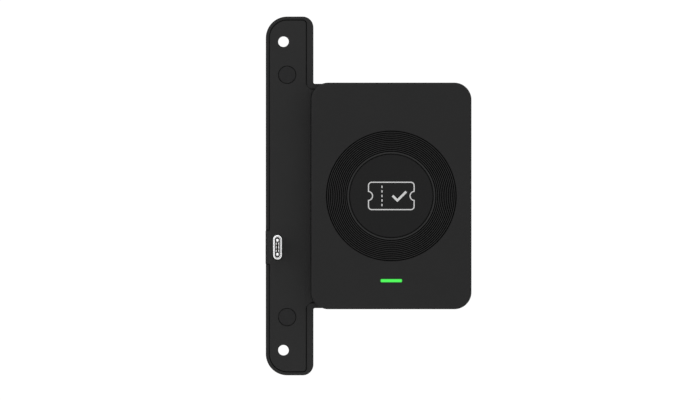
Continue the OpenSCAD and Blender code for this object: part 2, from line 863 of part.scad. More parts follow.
module plug_insulator() color([0.1, 0.1, 0.1]) {
    difference() {
        slab(slot_front_y, plug_board_y)
            stadium(plug_x, plug_z, plug_inner_t - 2 * fit_clear, plug_inner_w - 2 * fit_clear);
        slab(slot_front_y - over, slot_front_y + slot_depth) centred(plug_x, plug_z, slot_t, slot_w);
    }
}

// Pieces in a row on both long walls of the slot
module slot_rows(count, pitch, w, t, y0, y1) {
    for (side = [-1, 1], i = [0:count - 1])
        slab(y0, y1)
            centred(plug_x + side * (slot_t - t) / 2, plug_z + (i - (count - 1) / 2) * pitch, t, w);
}

module plug_contacts() color([0.85, 0.68, 0.3]) {
    slot_rows(contact_count, contact_pitch, contact_w, contact_t, contact_y, slot_front_y + slot_depth);
}

// Earth springs at the slot's mouth
module plug_springs() color([0.85, 0.85, 0.86]) {
    slot_rows(spring_count, spring_pitch, spring_w, spring_t, spring_y0, spring_y1);
}

module plug_latches() color([0.85, 0.85, 0.86]) {
    for (side = [-1, 1])
        slab(latch_y, slot_front_y + slot_depth)
            stadium(plug_x, plug_z + side * (slot_w - latch_w) / 2, slot_t, latch_w);
}

module plug_socket() color([0.85, 0.84, 0.78]) {
    middle = (plug_socket_x0 + plug_socket_x1) / 2;
    difference() {
        slab(plug_board_y - socket_h, plug_board_y)
            centred(middle, plug_z, plug_socket_x1 - plug_socket_x0, ribbon_w + 2 * socket_end);
        ribbon_slot(plug_socket_x1, ribbon_y0, ribbon_hold);
    }
}

// Mouth of a socket in the side at x, a little deeper than the ribbon's end
module ribbon_slot(x, y, hold) {
    half_t = ribbon_t / 2 + socket_fit;
    slab(y - half_t, y + half_t)
        centred(x, plug_z, 2 * (hold + 2 * socket_fit), ribbon_w + 2 * socket_fit);
}

// ---------------------------------------------------------------- head's inside

module board_socket() color([0.85, 0.84, 0.78]) {
    difference() {
        slab(board_y, board_y + board_socket_h)
            centred(board_socket_x0 + board_socket_w / 2, plug_z, board_socket_w, ribbon_w + 3 * socket_end);
        ribbon_slot(board_socket_x0, ribbon_y1, board_hold);
    }
}

// Height of the ribbon's middle along its way, t from 0 to 1
function ribbon_y(t) = ribbon_y0 + (ribbon_y1 - ribbon_y0) * t * t * (3 - 2 * t);

module ribbon_cable() color([0.88, 0.88, 0.85]) {
    x0 = plug_socket_x1 - ribbon_hold;
    x1 = plug_socket_x1 + ribbon_straight;
    x2 = board_socket_x0 - ribbon_straight;
    x3 = board_socket_x0 + board_hold;
    path = concat([[x0, ribbon_y0]],
        [for (i = [0:ribbon_steps]) let (t = i / ribbon_steps) [x1 + (x2 - x1) * t, ribbon_y(t)]],
        [[x3, ribbon_y1]]);
    last = len(path) - 1;
    translate([0, 0, plug_z - ribbon_w / 2]) linear_extrude(ribbon_w) polygon(concat(
        [for (p = path) [p[0], p[1] - ribbon_t / 2]],
        [for (i = [0:last]) [path[last - i][0], path[last - i][1] + ribbon_t / 2]]));
}

module main_board() color([0.08, 0.3, 0.18]) {
    difference() {
        slab(board_front_y, board_y) {
            centred(head_x, 0, 2 * board_half_w, 2 * board_half_h);
            translate([head_x - board_tongue_w / 2, -board_tongue_z])
                square([board_tongue_w, board_tongue_z]);
        }
        at_board_screws()
            rod(0, 0, board_front_y - over, board_y + over, board_screw_d / 2 + shank_clear);
    }
}

module shield_can() color([0.75, 0.75, 0.76]) {
    slab(board_front_y - can_h, board_front_y - can_h + can_skin) centred(head_x, can_z, can_w, can_w);
    slab(board_front_y - can_h, board_front_y) difference() {
        centred(head_x, can_z, can_w, can_w);
        centred(head_x, can_z, can_w - 2 * can_skin, can_w - 2 * can_skin);
    }
}

// The reader's controller under the shield can, and two chips beside it
module control_chips() color([0.1, 0.1, 0.11]) {
    slab(board_front_y - chip_t, board_front_y) {
        centred(head_x, can_z, controller_w, controller_w);
        centred(side_chip_x, side_chip_w + 1, side_chip_w, side_chip_w);
        centred(side_chip_x, -driver_chip_w, driver_chip_w, side_chip_w);
    }
}

// Capacitors and resistors in two rows
module small_parts() color([0.55, 0.42, 0.3]) {
    slab(board_front_y - small_part_h, board_front_y) {
        for (i = [0:7])
            centred(head_x + (i - 3.5) * small_part_pitch, small_row_z, small_part_w, small_part_l);
        for (i = [0:5])
            centred(head_x + 2 + i * small_part_pitch, -small_row_z - 1, small_part_w, small_part_l);
    }
}

module crystal_can() color([0.8, 0.8, 0.82]) {
    slab(board_front_y - crystal_h, board_front_y)
        flat_stadium(head_x + 1.5 * crystal_w, crystal_z, crystal_w, crystal_l);
}

module buzzer() color([0.06, 0.06, 0.06]) {
    top_y = board_front_y - buzzer_h;
    difference() {
        rod(buzzer_x, buzzer_z, top_y, board_front_y, buzzer_d / 2);
        rod(buzzer_x, buzzer_z, top_y - over, top_y + buzzer_hole_depth, buzzer_hole_r);
    }
}

module antenna_board() color([0.1, 0.32, 0.2]) {
    slab(inside_y, antenna_back_y) centred(head_x, 0, 2 * antenna_half_w, 2 * antenna_half_h);
}

// Rectangular spiral that starts at one pad and winds inwards against the clock
module antenna_coil() color([0.8, 0.45, 0.25]) {
    pitch = track_w + track_space;
    half_w = antenna_half_w - coil_margin;
    half_h = pin_z - pin_d / 2 - track_w;
    slab(antenna_back_y, coil_back_y) translate([head_x, 0]) {
        for (turn = [0:coil_turns - 1]) {
            w = half_w - turn * pitch;
            h = half_h - turn * pitch;
            top_end = turn == 0 ? pin_space / 2 : w + pitch;
            translate([-w, h - track_w]) square([w + top_end, track_w]);
            translate([-w, -h]) square([track_w, 2 * h]);
            translate([-w, -h]) square([2 * w, track_w]);
            translate([w - track_w, -h]) square([track_w, 2 * h - pitch]);
        }
        translate([(pin_space - track_w) / 2, half_h - track_w])
            square([track_w, pin_z - half_h + track_w]);
        for (side = [-1, 1]) translate([side * pin_space / 2, pin_z]) circle(pin_d / 2 + 0.3);
    }
}

module ferrite_sheet() color([0.22, 0.22, 0.24]) {
    slab(coil_back_y, coil_back_y + ferrite_t)
        centred(head_x, 0, 2 * (antenna_half_w - ferrite_margin), 2 * (antenna_half_h - ferrite_margin));
}

// Sprung pins that carry the antenna's two ends to the main board
module antenna_pins() color([0.85, 0.68, 0.3]) {
    for (side = [-1, 1]) {
        rod(head_x + side * pin_space / 2, pin_z, coil_back_y, board_front_y, pin_d / 2);
        rod(head_x + side * pin_space / 2, pin_z, board_front_y - 3, board_front_y, pin_d / 2 + 0.35);
    }
}

module foam_pad() color([0.2, 0.2, 0.22]) {
    slab(coil_back_y + ferrite_t + foam_clear, board_front_y - can_h - foam_clear)
        rounded(head_x - foam_half, head_x + foam_half, can_z - foam_half, can_z + foam_half, foam_r, foam_r);
}

// ---------------------------------------------------------------- one line for each node

rear_housing();
head_cover();
bar_cover();
head_gasket();
ring_insert();
symbol_disc();
disc_adhesive();
ticket_symbol();
light_pipe();
light_shroud();
status_leds();
screw_cap_upper();
screw_cap_lower();
bar_screws();
bar_inserts();
mounting_sleeves();
head_screws();
head_inserts();
stiffener_plate();
stiffener_screws();
plug_board();
plug_board_screws();
insulating_film();
plug_collar();
plug_shell();
plug_insulator();
plug_contacts();
plug_latches();
plug_springs();
plug_socket();
ribbon_cable();
board_socket();
main_board();
board_screws();
shield_can();
control_chips();
small_parts();
crystal_can();
buzzer();
antenna_board();
antenna_coil();
antenna_pins();
ferrite_sheet();
foam_pad();
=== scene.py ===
import json
import math

import bmesh
import bpy
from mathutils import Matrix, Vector


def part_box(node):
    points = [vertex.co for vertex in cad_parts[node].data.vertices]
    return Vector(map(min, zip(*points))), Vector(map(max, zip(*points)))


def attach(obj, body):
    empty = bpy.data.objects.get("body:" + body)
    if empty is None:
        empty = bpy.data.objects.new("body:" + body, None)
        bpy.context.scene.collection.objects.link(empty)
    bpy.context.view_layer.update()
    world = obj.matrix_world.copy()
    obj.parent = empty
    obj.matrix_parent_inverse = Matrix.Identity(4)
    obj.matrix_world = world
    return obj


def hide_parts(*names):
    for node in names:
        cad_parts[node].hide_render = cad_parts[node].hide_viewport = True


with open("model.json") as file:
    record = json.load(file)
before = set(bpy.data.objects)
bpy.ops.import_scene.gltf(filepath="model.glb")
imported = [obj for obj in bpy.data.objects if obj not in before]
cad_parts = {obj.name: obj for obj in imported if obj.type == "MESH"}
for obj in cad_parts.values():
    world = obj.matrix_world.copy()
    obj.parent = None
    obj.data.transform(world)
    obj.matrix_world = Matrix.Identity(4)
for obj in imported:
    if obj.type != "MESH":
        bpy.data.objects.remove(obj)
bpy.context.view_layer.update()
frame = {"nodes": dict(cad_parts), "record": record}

# ---- sizes, in metres
MM = 0.001
TOUCH = 0.002 * MM          # two points this near are one
PAST = 1 * MM               # how far a cutter runs past a face
SHARP = math.radians(30)    # a fold sharper than this is an edge
CORNER_STEPS = 16
ROUND_SIDES = 96
BORE_SIDES = 48
STADIUM_SIDES = 56
TURN_STEPS = 240

HEAD_LOW, HEAD_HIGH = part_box("head_cover")
HOUSING_LOW, HOUSING_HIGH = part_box("rear_housing")
COVER_LOW, COVER_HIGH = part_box("bar_cover")
RING_LOW, RING_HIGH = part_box("ring_insert")
DISC_LOW, DISC_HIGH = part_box("symbol_disc")
SHELL_LOW, SHELL_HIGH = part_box("plug_shell")
COLLAR_LOW, COLLAR_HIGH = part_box("plug_collar")
CORE_LOW, CORE_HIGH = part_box("plug_insulator")
LENS_LOW, LENS_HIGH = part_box("light_pipe")
BOARD_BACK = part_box("main_board")[1].y

TARGET = (RING_LOW + RING_HIGH) / 2
PLUG = (SHELL_LOW + SHELL_HIGH) / 2
RING_RADIUS = (RING_HIGH.x - RING_LOW.x) / 2
DISC_RADIUS = (DISC_HIGH.x - DISC_LOW.x) / 2

# Rear housing: a bar with a tray beside it
BAR_LEFT = HOUSING_LOW.x
BAR_RIGHT = BAR_LEFT + 17.8 * MM
BAR_TOP = HOUSING_HIGH.z
REAR = HOUSING_HIGH.y
BAR_OUTER_RADIUS = 8 * MM
BAR_INNER_RADIUS = 4 * MM
RIM = 1.1 * MM
RIM_INNER = 2.4 * MM
SHADOW_GAP = 0.4 * MM
LEDGE = 0.8 * MM
COVER_THICK = 1.6 * MM
WALL = 2 * MM
FLOOR = REAR - 2 * MM
TRAY_INSET = 0.3 * MM
TRAY_HOLLOW = 2.5 * MM
TRAY_TOP = HEAD_HIGH.z - TRAY_INSET
TRAY_CORNER = 0.6 * MM
SEAT = HEAD_HIGH.y
SEAT_GAP = 0.1 * MM
HEAD_RADIUS = 6.4 * MM
HEAD_EDGE = 0.8 * MM
HEAD_FRONT = 2.2 * MM
COVER_FILLET = 2.2 * MM
TAB_END = COVER_HIGH.x
TAB_TOP = TRAY_TOP - 1.8 * MM
PAD_HALF = 6.2 * MM
NECK_TOP = TAB_TOP - 7.8 * MM
CAVITY = RIM + SHADOW_GAP + LEDGE

# Fasteners, bosses and bores
SCREW_HEAD_HEIGHT = 1.3 * MM
SCREW_HEAD_RADIUS = 2.25 * MM
SCREW_SHANK_RADIUS = 1.25 * MM
SCREW_BORE = 1.4 * MM
BOARD_SCREW_HEAD_RADIUS = 1.9 * MM
BOARD_SCREW_BORE = 1.03 * MM
INSERT_BORE = 1.93 * MM
BOSS_RADIUS = 3.1 * MM
ROOT = 0.5 * MM             # how far a boss or fence grows into its wall
FIXING_HOLE_RADIUS = 2 * MM
CAP_WELL_RADIUS = 3.4 * MM
WINDOW_LONG = 8.3 * MM
WINDOW_HIGH = 1.4 * MM
WINDOW_GAP = 0.06 * MM


def box_middle(node):
    low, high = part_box(node)
    return (low + high) / 2


# ---- modelling
def only(piece):
    """Selects one piece and works on it."""
    bpy.ops.object.select_all(action="DESELECT")
    piece.select_set(True)
    bpy.context.view_layer.objects.active = piece


def settle(piece):
    """Puts a new primitive's place and size into its mesh."""
    only(piece)
    bpy.ops.object.transform_apply(location=True, rotation=True, scale=True)
    return piece


def block(low, high):
    """A box between two corners."""
    bpy.ops.object.select_all(action="DESELECT")
    bpy.ops.mesh.primitive_cube_add(size=1, location=[(a + b) / 2 for a, b in zip(low, high)])
    piece = bpy.context.active_object
    piece.scale = [b - a for a, b in zip(low, high)]
    return settle(piece)


def rod(x, z, y0, y1, radius, sides=ROUND_SIDES):
    """A round bar along Y."""
    bpy.ops.object.select_all(action="DESELECT")
    bpy.ops.mesh.primitive_cylinder_add(
        vertices=sides, radius=radius, depth=y1 - y0,
        location=(x, (y0 + y1) / 2, z), rotation=(math.pi / 2, 0, 0))
    return settle(bpy.context.active_object)


def pick(piece, kind, wanted):
    """Goes into edit mode and selects the vertices, edges or faces that are wanted."""
    only(piece)
    bpy.ops.object.mode_set(mode="EDIT")
    bpy.ops.mesh.select_mode(type=kind)
    bpy.ops.mesh.select_all(action="DESELECT")
    mesh = bmesh.from_edit_mesh(piece.data)
    for item in {"VERT": mesh.verts, "EDGE": mesh.edges, "FACE": mesh.faces}[kind]:
        if wanted(item):
            item.select_set(True)
    mesh.select_flush_mode()
    bmesh.update_edit_mesh(piece.data)


def done():
    """Goes back to object mode."""
    bpy.ops.object.mode_set(mode="OBJECT")


def draw_out(piece, wanted, move):
    """Extrudes the faces that are wanted."""
    pick(piece, "FACE", wanted)
    bpy.ops.mesh.extrude_region_move(TRANSFORM_OT_translate={"value": move})
    done()


def bevel(piece, wanted, width, segments):
    """Rounds the edges that are wanted."""
    pick(piece, "EDGE", wanted)
    bpy.ops.mesh.bevel(offset=width, segments=segments, profile=0.5, affect="EDGES", clamp_overlap=False)
    done()


def rim_at(y, near=None):
    """Picks the sharp edges that lie in the plane at y, and near a place when one is given."""
    def wanted(edge):
        flat = all(abs(vertex.co.y - y) < TOUCH for vertex in edge.verts)
        return flat and edge.calc_face_angle(0) > SHARP and (near is None or near(edge.verts[0].co))
    return wanted


def slab(x, y, z, left, right, steps=CORNER_STEPS):
    """A plate across Y whose corners are round, with one radius on each side."""
    piece = block((x[0], y[0], z[0]), (x[1], y[1], z[1]))
    middle = (x[0] + x[1]) / 2
    for side, radius in ((-1, left), (1, right)):
        def corner(edge):
            a, b = (vertex.co for vertex in edge.verts)
            return abs((a - b).normalized().y) > 0.999 and (a.x - middle) * side > 0
        if radius:
            bevel(piece, corner, radius, steps)
    return piece


def stadium(x, z, y0, y1, thick, long, upright=True):
    """A bar along Y with two half-round sides: a round bar whose halves are drawn apart."""
    bpy.ops.object.select_all(action="DESELECT")
    bpy.ops.mesh.primitive_cylinder_add(
        vertices=STADIUM_SIDES, radius=thick / 2 / math.cos(math.pi / STADIUM_SIDES), depth=y1 - y0,
        location=(x, (y0 + y1) / 2, z), rotation=(math.pi / 2, math.pi / STADIUM_SIDES, 0))
    piece = settle(bpy.context.active_object)
    for side in (-1, 1):
        pick(piece, "VERT", lambda vertex: ((vertex.co.z - z) if upright else (vertex.co.x - x)) * side > 0)
        draw = side * (long - thick) / 2
        bpy.ops.transform.translate(value=(0, 0, draw) if upright else (draw, 0, 0))
        done()
    return piece


def combine(operation, piece, tools):
    """Adds solids to a piece or takes them away. The tools are used up."""
    for tool in tools:
        modifier = piece.modifiers.new("combine", "BOOLEAN")
        modifier.operation = operation
        modifier.solver = "EXACT"
        modifier.object = tool
        only(piece)
        bpy.ops.object.modifier_apply(modifier=modifier.name)
        bpy.data.objects.remove(tool)
    return piece


def cut(piece, *tools):
    return combine("DIFFERENCE", piece, tools)


def fuse(piece, *tools):
    return combine("UNION", piece, tools)


def flatten(piece):
    """Merges the slivers that solids leave where they touch along a line."""
    pick(piece, "VERT", lambda vertex: True)
    bpy.ops.mesh.remove_doubles(threshold=TOUCH)
    done()
    return piece


def join(pieces):
    """Makes one piece of several, which takes the first one's place."""
    only(pieces[0])
    for piece in pieces:
        piece.select_set(True)
    bpy.ops.object.join()
    return pieces[0]


def copies(first, moves):
    """Copies a piece to other places, each copy with its own mesh, and joins them all."""
    pieces = [first]
    for move in moves:
        piece = first.copy()
        piece.data = first.data.copy()
        bpy.context.scene.collection.objects.link(piece)
        piece.location = move
        pieces.append(settle(piece))
    return join(pieces)


def clean(piece):
    """Merges doubles, turns the faces outwards and shades round faces smooth."""
    pick(piece, "VERT", lambda vertex: True)
    bpy.ops.mesh.remove_doubles(threshold=TOUCH / 4)
    bpy.ops.mesh.dissolve_degenerate(threshold=TOUCH / 8)
    bpy.ops.mesh.select_all(action="SELECT")
    bpy.ops.mesh.normals_make_consistent(inside=False)
    done()
    bpy.ops.object.shade_smooth_by_angle(angle=SHARP)
    weighted = piece.modifiers.new("flat faces stay flat", "WEIGHTED_NORMAL")
    weighted.keep_sharp = True
    bpy.ops.object.modifier_apply(modifier=weighted.name)
    return piece


def place(piece, name, slot, nodes, material=None, body="reader"):
    """Names a finished piece, gives it its finish and its body, and hides the CAD solids that it stands for.
    """
    clean(piece)
    piece.name = name
    piece.data.name = name
    piece.data.materials.clear()
    piece.data.materials.append(MATERIALS[material or slot])
    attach(piece, body)
    if nodes:
        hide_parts(*nodes)
    return piece


# ---- shader tools
class Socket:
    """A node's output, on which arithmetic adds Math nodes."""

    def __init__(self, shader, socket):
        self.shader = shader
        self.socket = socket

    def maths(self, operation, *values):
        return self.shader.node("ShaderNodeMath", {"operation": operation}, dict(enumerate(values)))

    def __add__(self, other):
        return self.maths("ADD", self, other)

    def __sub__(self, other):
        return self.maths("SUBTRACT", self, other)

    def __rsub__(self, other):
        return self.maths("SUBTRACT", other, self)

    def __mul__(self, other):
        return self.maths("MULTIPLY", self, other)

    __radd__ = __add__
    __rmul__ = __mul__


class Shader:
    """One material's nodes."""

    def __init__(self, name):
        self.material = bpy.data.materials.new(name)
        self.material.use_nodes = True
        self.tree = self.material.node_tree
        self.tree.nodes.clear()

    def node(self, kind, settings=None, inputs=None, output=0):
        """Adds a node: first its settings, then a value or a link for each of its sockets."""
        node = self.tree.nodes.new(kind)
        for name, value in (settings or {}).items():
            setattr(node, name, value)
        for name, value in (inputs or {}).items():
            if isinstance(value, Socket):
                self.tree.links.new(value.socket, node.inputs[name])
            else:
                node.inputs[name].default_value = value
        return Socket(self, node.outputs[output]) if node.outputs else None

    def coordinates(self, centre=(0, 0, 0), stretch=(1, 1, 1), turn=(0, 0, 0)):
        """The place on the object, from a centre, then stretched and turned."""
        place_on_piece = self.node("ShaderNodeTexCoord", output="Object")
        moved = self.node("ShaderNodeVectorMath", {"operation": "SUBTRACT"}, {0: place_on_piece, 1: centre})
        return self.node("ShaderNodeMapping", {}, {"Vector": moved, "Scale": stretch, "Rotation": turn})

    def noise(self, size, detail=3, where=None, roughness=0.5):
        """Cloudy grain whose spots are about size across."""
        return self.node("ShaderNodeTexNoise", {}, {
            "Vector": where or self.coordinates(), "Scale": 1 / size,
            "Detail": detail, "Roughness": roughness})

    def cells(self, size):
        """Round cells about size across, dark in their middles."""
        return self.node("ShaderNodeTexVoronoi", {"feature": "F1"}, {
            "Vector": self.coordinates(), "Scale": 1 / size}, output="Distance")

    def contrast(self, value, low, high):
        """Spreads the part of a mask between low and high over the whole range."""
        return self.node("ShaderNodeMapRange", {"clamp": True}, {
            "Value": value, "From Min": low, "From Max": high})

    def blend(self, mask, first, second):
        """Goes from the first colour to the second as the mask rises."""
        return self.node("ShaderNodeMix", {"data_type": "RGBA"},
                         {0: mask, 6: rgba(first), 7: rgba(second)}, output=2)

    def bump(self, height, depth, under=None):
        """Relief of the given depth, over another relief when there is one."""
        inputs = {"Height": height, "Distance": depth, "Strength": 1.0}
        if under:
            inputs["Normal"] = under
        return self.node("ShaderNodeBump", {}, inputs)

    def surface(self, colour, roughness, normal, **settings):
        """Closes the material with a Principled shader. Settings with spaces in their names use _."""
        inputs = {"Base Color": rgba(colour), "Roughness": roughness}
        if normal:
            inputs["Normal"] = normal
        inputs.update({name.replace("_", " "): value for name, value in settings.items()})
        shader = self.node("ShaderNodeBsdfPrincipled", {}, inputs)
        self.node("ShaderNodeOutputMaterial", {}, {"Surface": shader})
        return self.material


def rgba(colour):
    """A colour socket as it is, or three numbers with full alpha."""
    return colour if isinstance(colour, Socket) else (*colour[:3], 1)


def shade(colour, factor):
    """A lighter or darker form of a colour."""
    return tuple(min(1, channel * factor) for channel in colour)


# ---- materials
def moulded_plastic(name, colour, roughness, grain=0.35 * MM, depth=0.012 * MM, specular=0.5):
    """Spark-eroded mould texture: fine pits, faint flow clouds and a slightly uneven sheen."""
    shader = Shader(name)
    pits = shader.noise(grain, detail=2)
    clouds = shader.noise(18 * MM, detail=2)
    scuffs = shader.contrast(shader.noise(3 * MM, detail=6, roughness=0.7), 0.55, 0.75)
    tint = shader.blend(clouds, shade(colour, 0.9), shade(colour, 1.1))
    tint = shader.blend(pits * 0.25, tint, shade(colour, 1.25))
    sheen = roughness - 0.03 + pits * 0.06 + scuffs * 0.03
    return shader.surface(tint, sheen, shader.bump(pits, depth), Specular_IOR_Level=specular)


def turned_plastic(name, colour, groove_shade_colour, roughness, centre, specular):
    """Satin plastic with the faint rings of a turned mould: bright on its crests, with painted shade
    darkening its grooves to near black, which are also rougher.
    """
    shader = Shader(name)
    about_axis = shader.coordinates(centre)
    turned = shader.node(
        "ShaderNodeTexWave", {"wave_type": "RINGS", "rings_direction": "Y"},
        {"Vector": about_axis, "Scale": 1 / (3 * MM), "Distortion": 0.4, "Detail": 1})
    depth = shader.node("ShaderNodeSeparateXYZ", {}, {"Vector": about_axis}, output="Y")
    # This mask paints shade into the grooves: deeper down, the tint goes towards the near-black groove
    # colour. The same mask also makes the grooves rougher.
    groove_depth_shade = shader.contrast(depth, 0.06 * MM, 0.35 * MM)
    grain = shader.noise(0.25 * MM, detail=2)
    tint = shader.blend(shader.noise(9 * MM), shade(colour, 0.9), shade(colour, 1.1))
    tint = shader.blend(groove_depth_shade, tint, groove_shade_colour)
    normal = shader.bump(grain, 0.004 * MM, shader.bump(turned, 0.004 * MM))
    return shader.surface(tint, roughness + grain * 0.08 + groove_depth_shade * 0.35, normal, Specular_IOR_Level=specular)


def soft_rubber(name, colour):
    """Matt rubber with a dry bloom in its grain."""
    shader = Shader(name)
    grain = shader.noise(0.3 * MM, detail=4)
    bloom = shader.contrast(shader.noise(2.5 * MM, detail=5), 0.45, 0.8)
    tint = shader.blend(bloom * 0.5, colour, shade(colour, 1.6))
    return shader.surface(tint, 0.72 + grain * 0.12, shader.bump(grain, 0.015 * MM), Specular_IOR_Level=0.35)


def brushed_metal(name, colour, roughness, stretch=(1, 1, 0.04)):
    """Rolled or brushed sheet: long fine scratches one way and a dull patch here and there."""
    shader = Shader(name)
    scratches = shader.noise(0.12 * MM, detail=4, where=shader.coordinates(stretch=stretch))
    patches = shader.noise(6 * MM, detail=3)
    tint = shader.blend(patches, shade(colour, 0.86), shade(colour, 1.08))
    return shader.surface(
        tint, roughness - 0.05 + scratches * 0.16, shader.bump(scratches, 0.003 * MM), Metallic=1.0)


def plated_metal(name, colour, roughness):
    """Bright plate with hairline scratches and handling marks."""
    shader = Shader(name)
    lengthwise = shader.coordinates(stretch=(1, 0.12, 1))
    hairlines = shader.contrast(shader.noise(0.2 * MM, detail=6, where=lengthwise, roughness=0.7), 0.5, 0.72)
    smudges = shader.noise(1.6 * MM, detail=4)
    tint = shader.blend(smudges, shade(colour, 0.9), shade(colour, 1.05))
    return shader.surface(
        tint, roughness + smudges * 0.12 + hairlines * 0.1, shader.bump(hairlines, 0.0015 * MM), Metallic=1.0)


def lit_lens(name, core, edge, strength):
    """Clear green plastic, lit from behind: brightest in the middle and darker at its rim."""
    shader = Shader(name)
    middle = (LENS_LOW + LENS_HIGH) / 2
    across = shader.node("ShaderNodeSeparateXYZ", {}, {"Vector": shader.coordinates(middle)}, output="Z")
    along = shader.node("ShaderNodeSeparateXYZ", {}, {"Vector": shader.coordinates(middle)}, output="X")
    height = across.maths("ABSOLUTE", across)
    reach = along.maths("ABSOLUTE", along)
    rim = shader.contrast(height, 0.42 * MM, 0.6 * MM)
    rim = rim.maths("MAXIMUM", rim, shader.contrast(reach, 3.75 * MM, 4.0 * MM))
    grain = shader.noise(0.4 * MM, detail=2)
    glow = shader.blend(rim, shader.blend(grain * 0.3, core, shade(core, 1.1)), edge)
    return shader.surface(shade(core, 0.1), 0.2 + grain * 0.1, shader.bump(grain, 0.003 * MM),
                          Emission_Color=glow, Emission_Strength=strength)


def circuit_board(name, mask_colour):
    """Solder mask over copper: routed tracks show as a lighter, raised pattern over woven glass."""
    shader = Shader(name)
    weave = shader.node("ShaderNodeTexChecker", {}, {
        "Vector": shader.coordinates(), "Scale": 1 / (0.4 * MM)}, output="Fac")
    routes = shader.node("ShaderNodeTexBrick", {"offset": 0.35, "squash": 0.6, "squash_frequency": 3}, {
        "Vector": shader.coordinates(turn=(math.pi / 2, 0, 0)), "Scale": 1 / (3.1 * MM), "Mortar Size": 0.06,
        "Mortar Smooth": 0.2, "Brick Width": 5.3, "Row Height": 0.3}, output="Fac")
    vias = shader.contrast(shader.cells(2.3 * MM), 0.11, 0.09)
    copper = routes.maths("MAXIMUM", routes, vias)
    clouds = shader.noise(7 * MM, detail=2)
    tint = shader.blend(clouds, shade(mask_colour, 0.85), shade(mask_colour, 1.15))
    tint = shader.blend(copper * 0.5, tint, shade(mask_colour, 1.8))
    normal = shader.bump(copper, 0.03 * MM, shader.bump(weave, 0.003 * MM))
    return shader.surface(tint, 0.28 + weave * 0.04 + copper * 0.05, normal, Specular_IOR_Level=0.5)


def speckled(name, colour, speck_colour, roughness, size, depth, metallic=0.0):
    """A body with fine specks of another tone, such as ferrite, ceramic or epoxy."""
    shader = Shader(name)
    specks = shader.contrast(shader.noise(size, detail=5, roughness=0.65), 0.52, 0.68)
    tint = shader.blend(specks, colour, speck_colour)
    return shader.surface(tint, roughness + specks * 0.1, shader.bump(specks, depth), Metallic=metallic)


def open_foam(name, colour):
    """Cells of an open foam, with painted shade darkening their hollows and painted light on their raised
    middles.
    """
    shader = Shader(name)
    hollow_depth_shade = shader.cells(0.5 * MM)
    # Painted light and shade: the raised middles of the cells are lightened and their hollows darkened.
    tint = shader.blend(hollow_depth_shade, shade(colour, 1.8), shade(colour, 0.4))
    return shader.surface(
        tint, 0.85 + hollow_depth_shade * 0.1, shader.bump(1 - hollow_depth_shade, 0.15 * MM), Specular_IOR_Level=0.2)


def flat_cable(name, jacket, wire):
    """Tinned wires that show through a white jacket, lying along X side by side."""
    shader = Shader(name)
    wires = shader.node("ShaderNodeTexWave", {"bands_direction": "Z"}, {
        "Vector": shader.coordinates(), "Scale": 1 / (3.15 * MM), "Distortion": 0.0}, output="Fac")
    shown = shader.contrast(wires, 0.35, 0.75)
    tint = shader.blend(shown * 0.7, jacket, wire)
    return shader.surface(tint, 0.3 + shown * 0.1, shader.bump(shown, 0.03 * MM))


def amber_film(name, colour):
    """Clear amber insulating film with soft ripples."""
    shader = Shader(name)
    ripple = shader.noise(4 * MM, detail=2)
    tint = shader.blend(ripple, shade(colour, 0.8), shade(colour, 1.2))
    return shader.surface(tint, 0.18 + ripple * 0.1, shader.bump(ripple, 0.02 * MM), Specular_IOR_Level=0.6)


def printed_ink(name, colour):
    """Pad print: a thin grey film with pinholes and a slightly uneven body."""
    shader = Shader(name)
    body = shader.noise(1.2 * MM, detail=4)
    pinholes = shader.contrast(shader.noise(0.12 * MM, detail=2), 0.7, 0.8)
    tint = shader.blend(body, shade(colour, 0.93), shade(colour, 1.04))
    tint = shader.blend(pinholes * 0.4, tint, shade(colour, 0.4))
    return shader.surface(tint, 0.5 + body * 0.1, shader.bump(body, 0.004 * MM), Specular_IOR_Level=0.3)


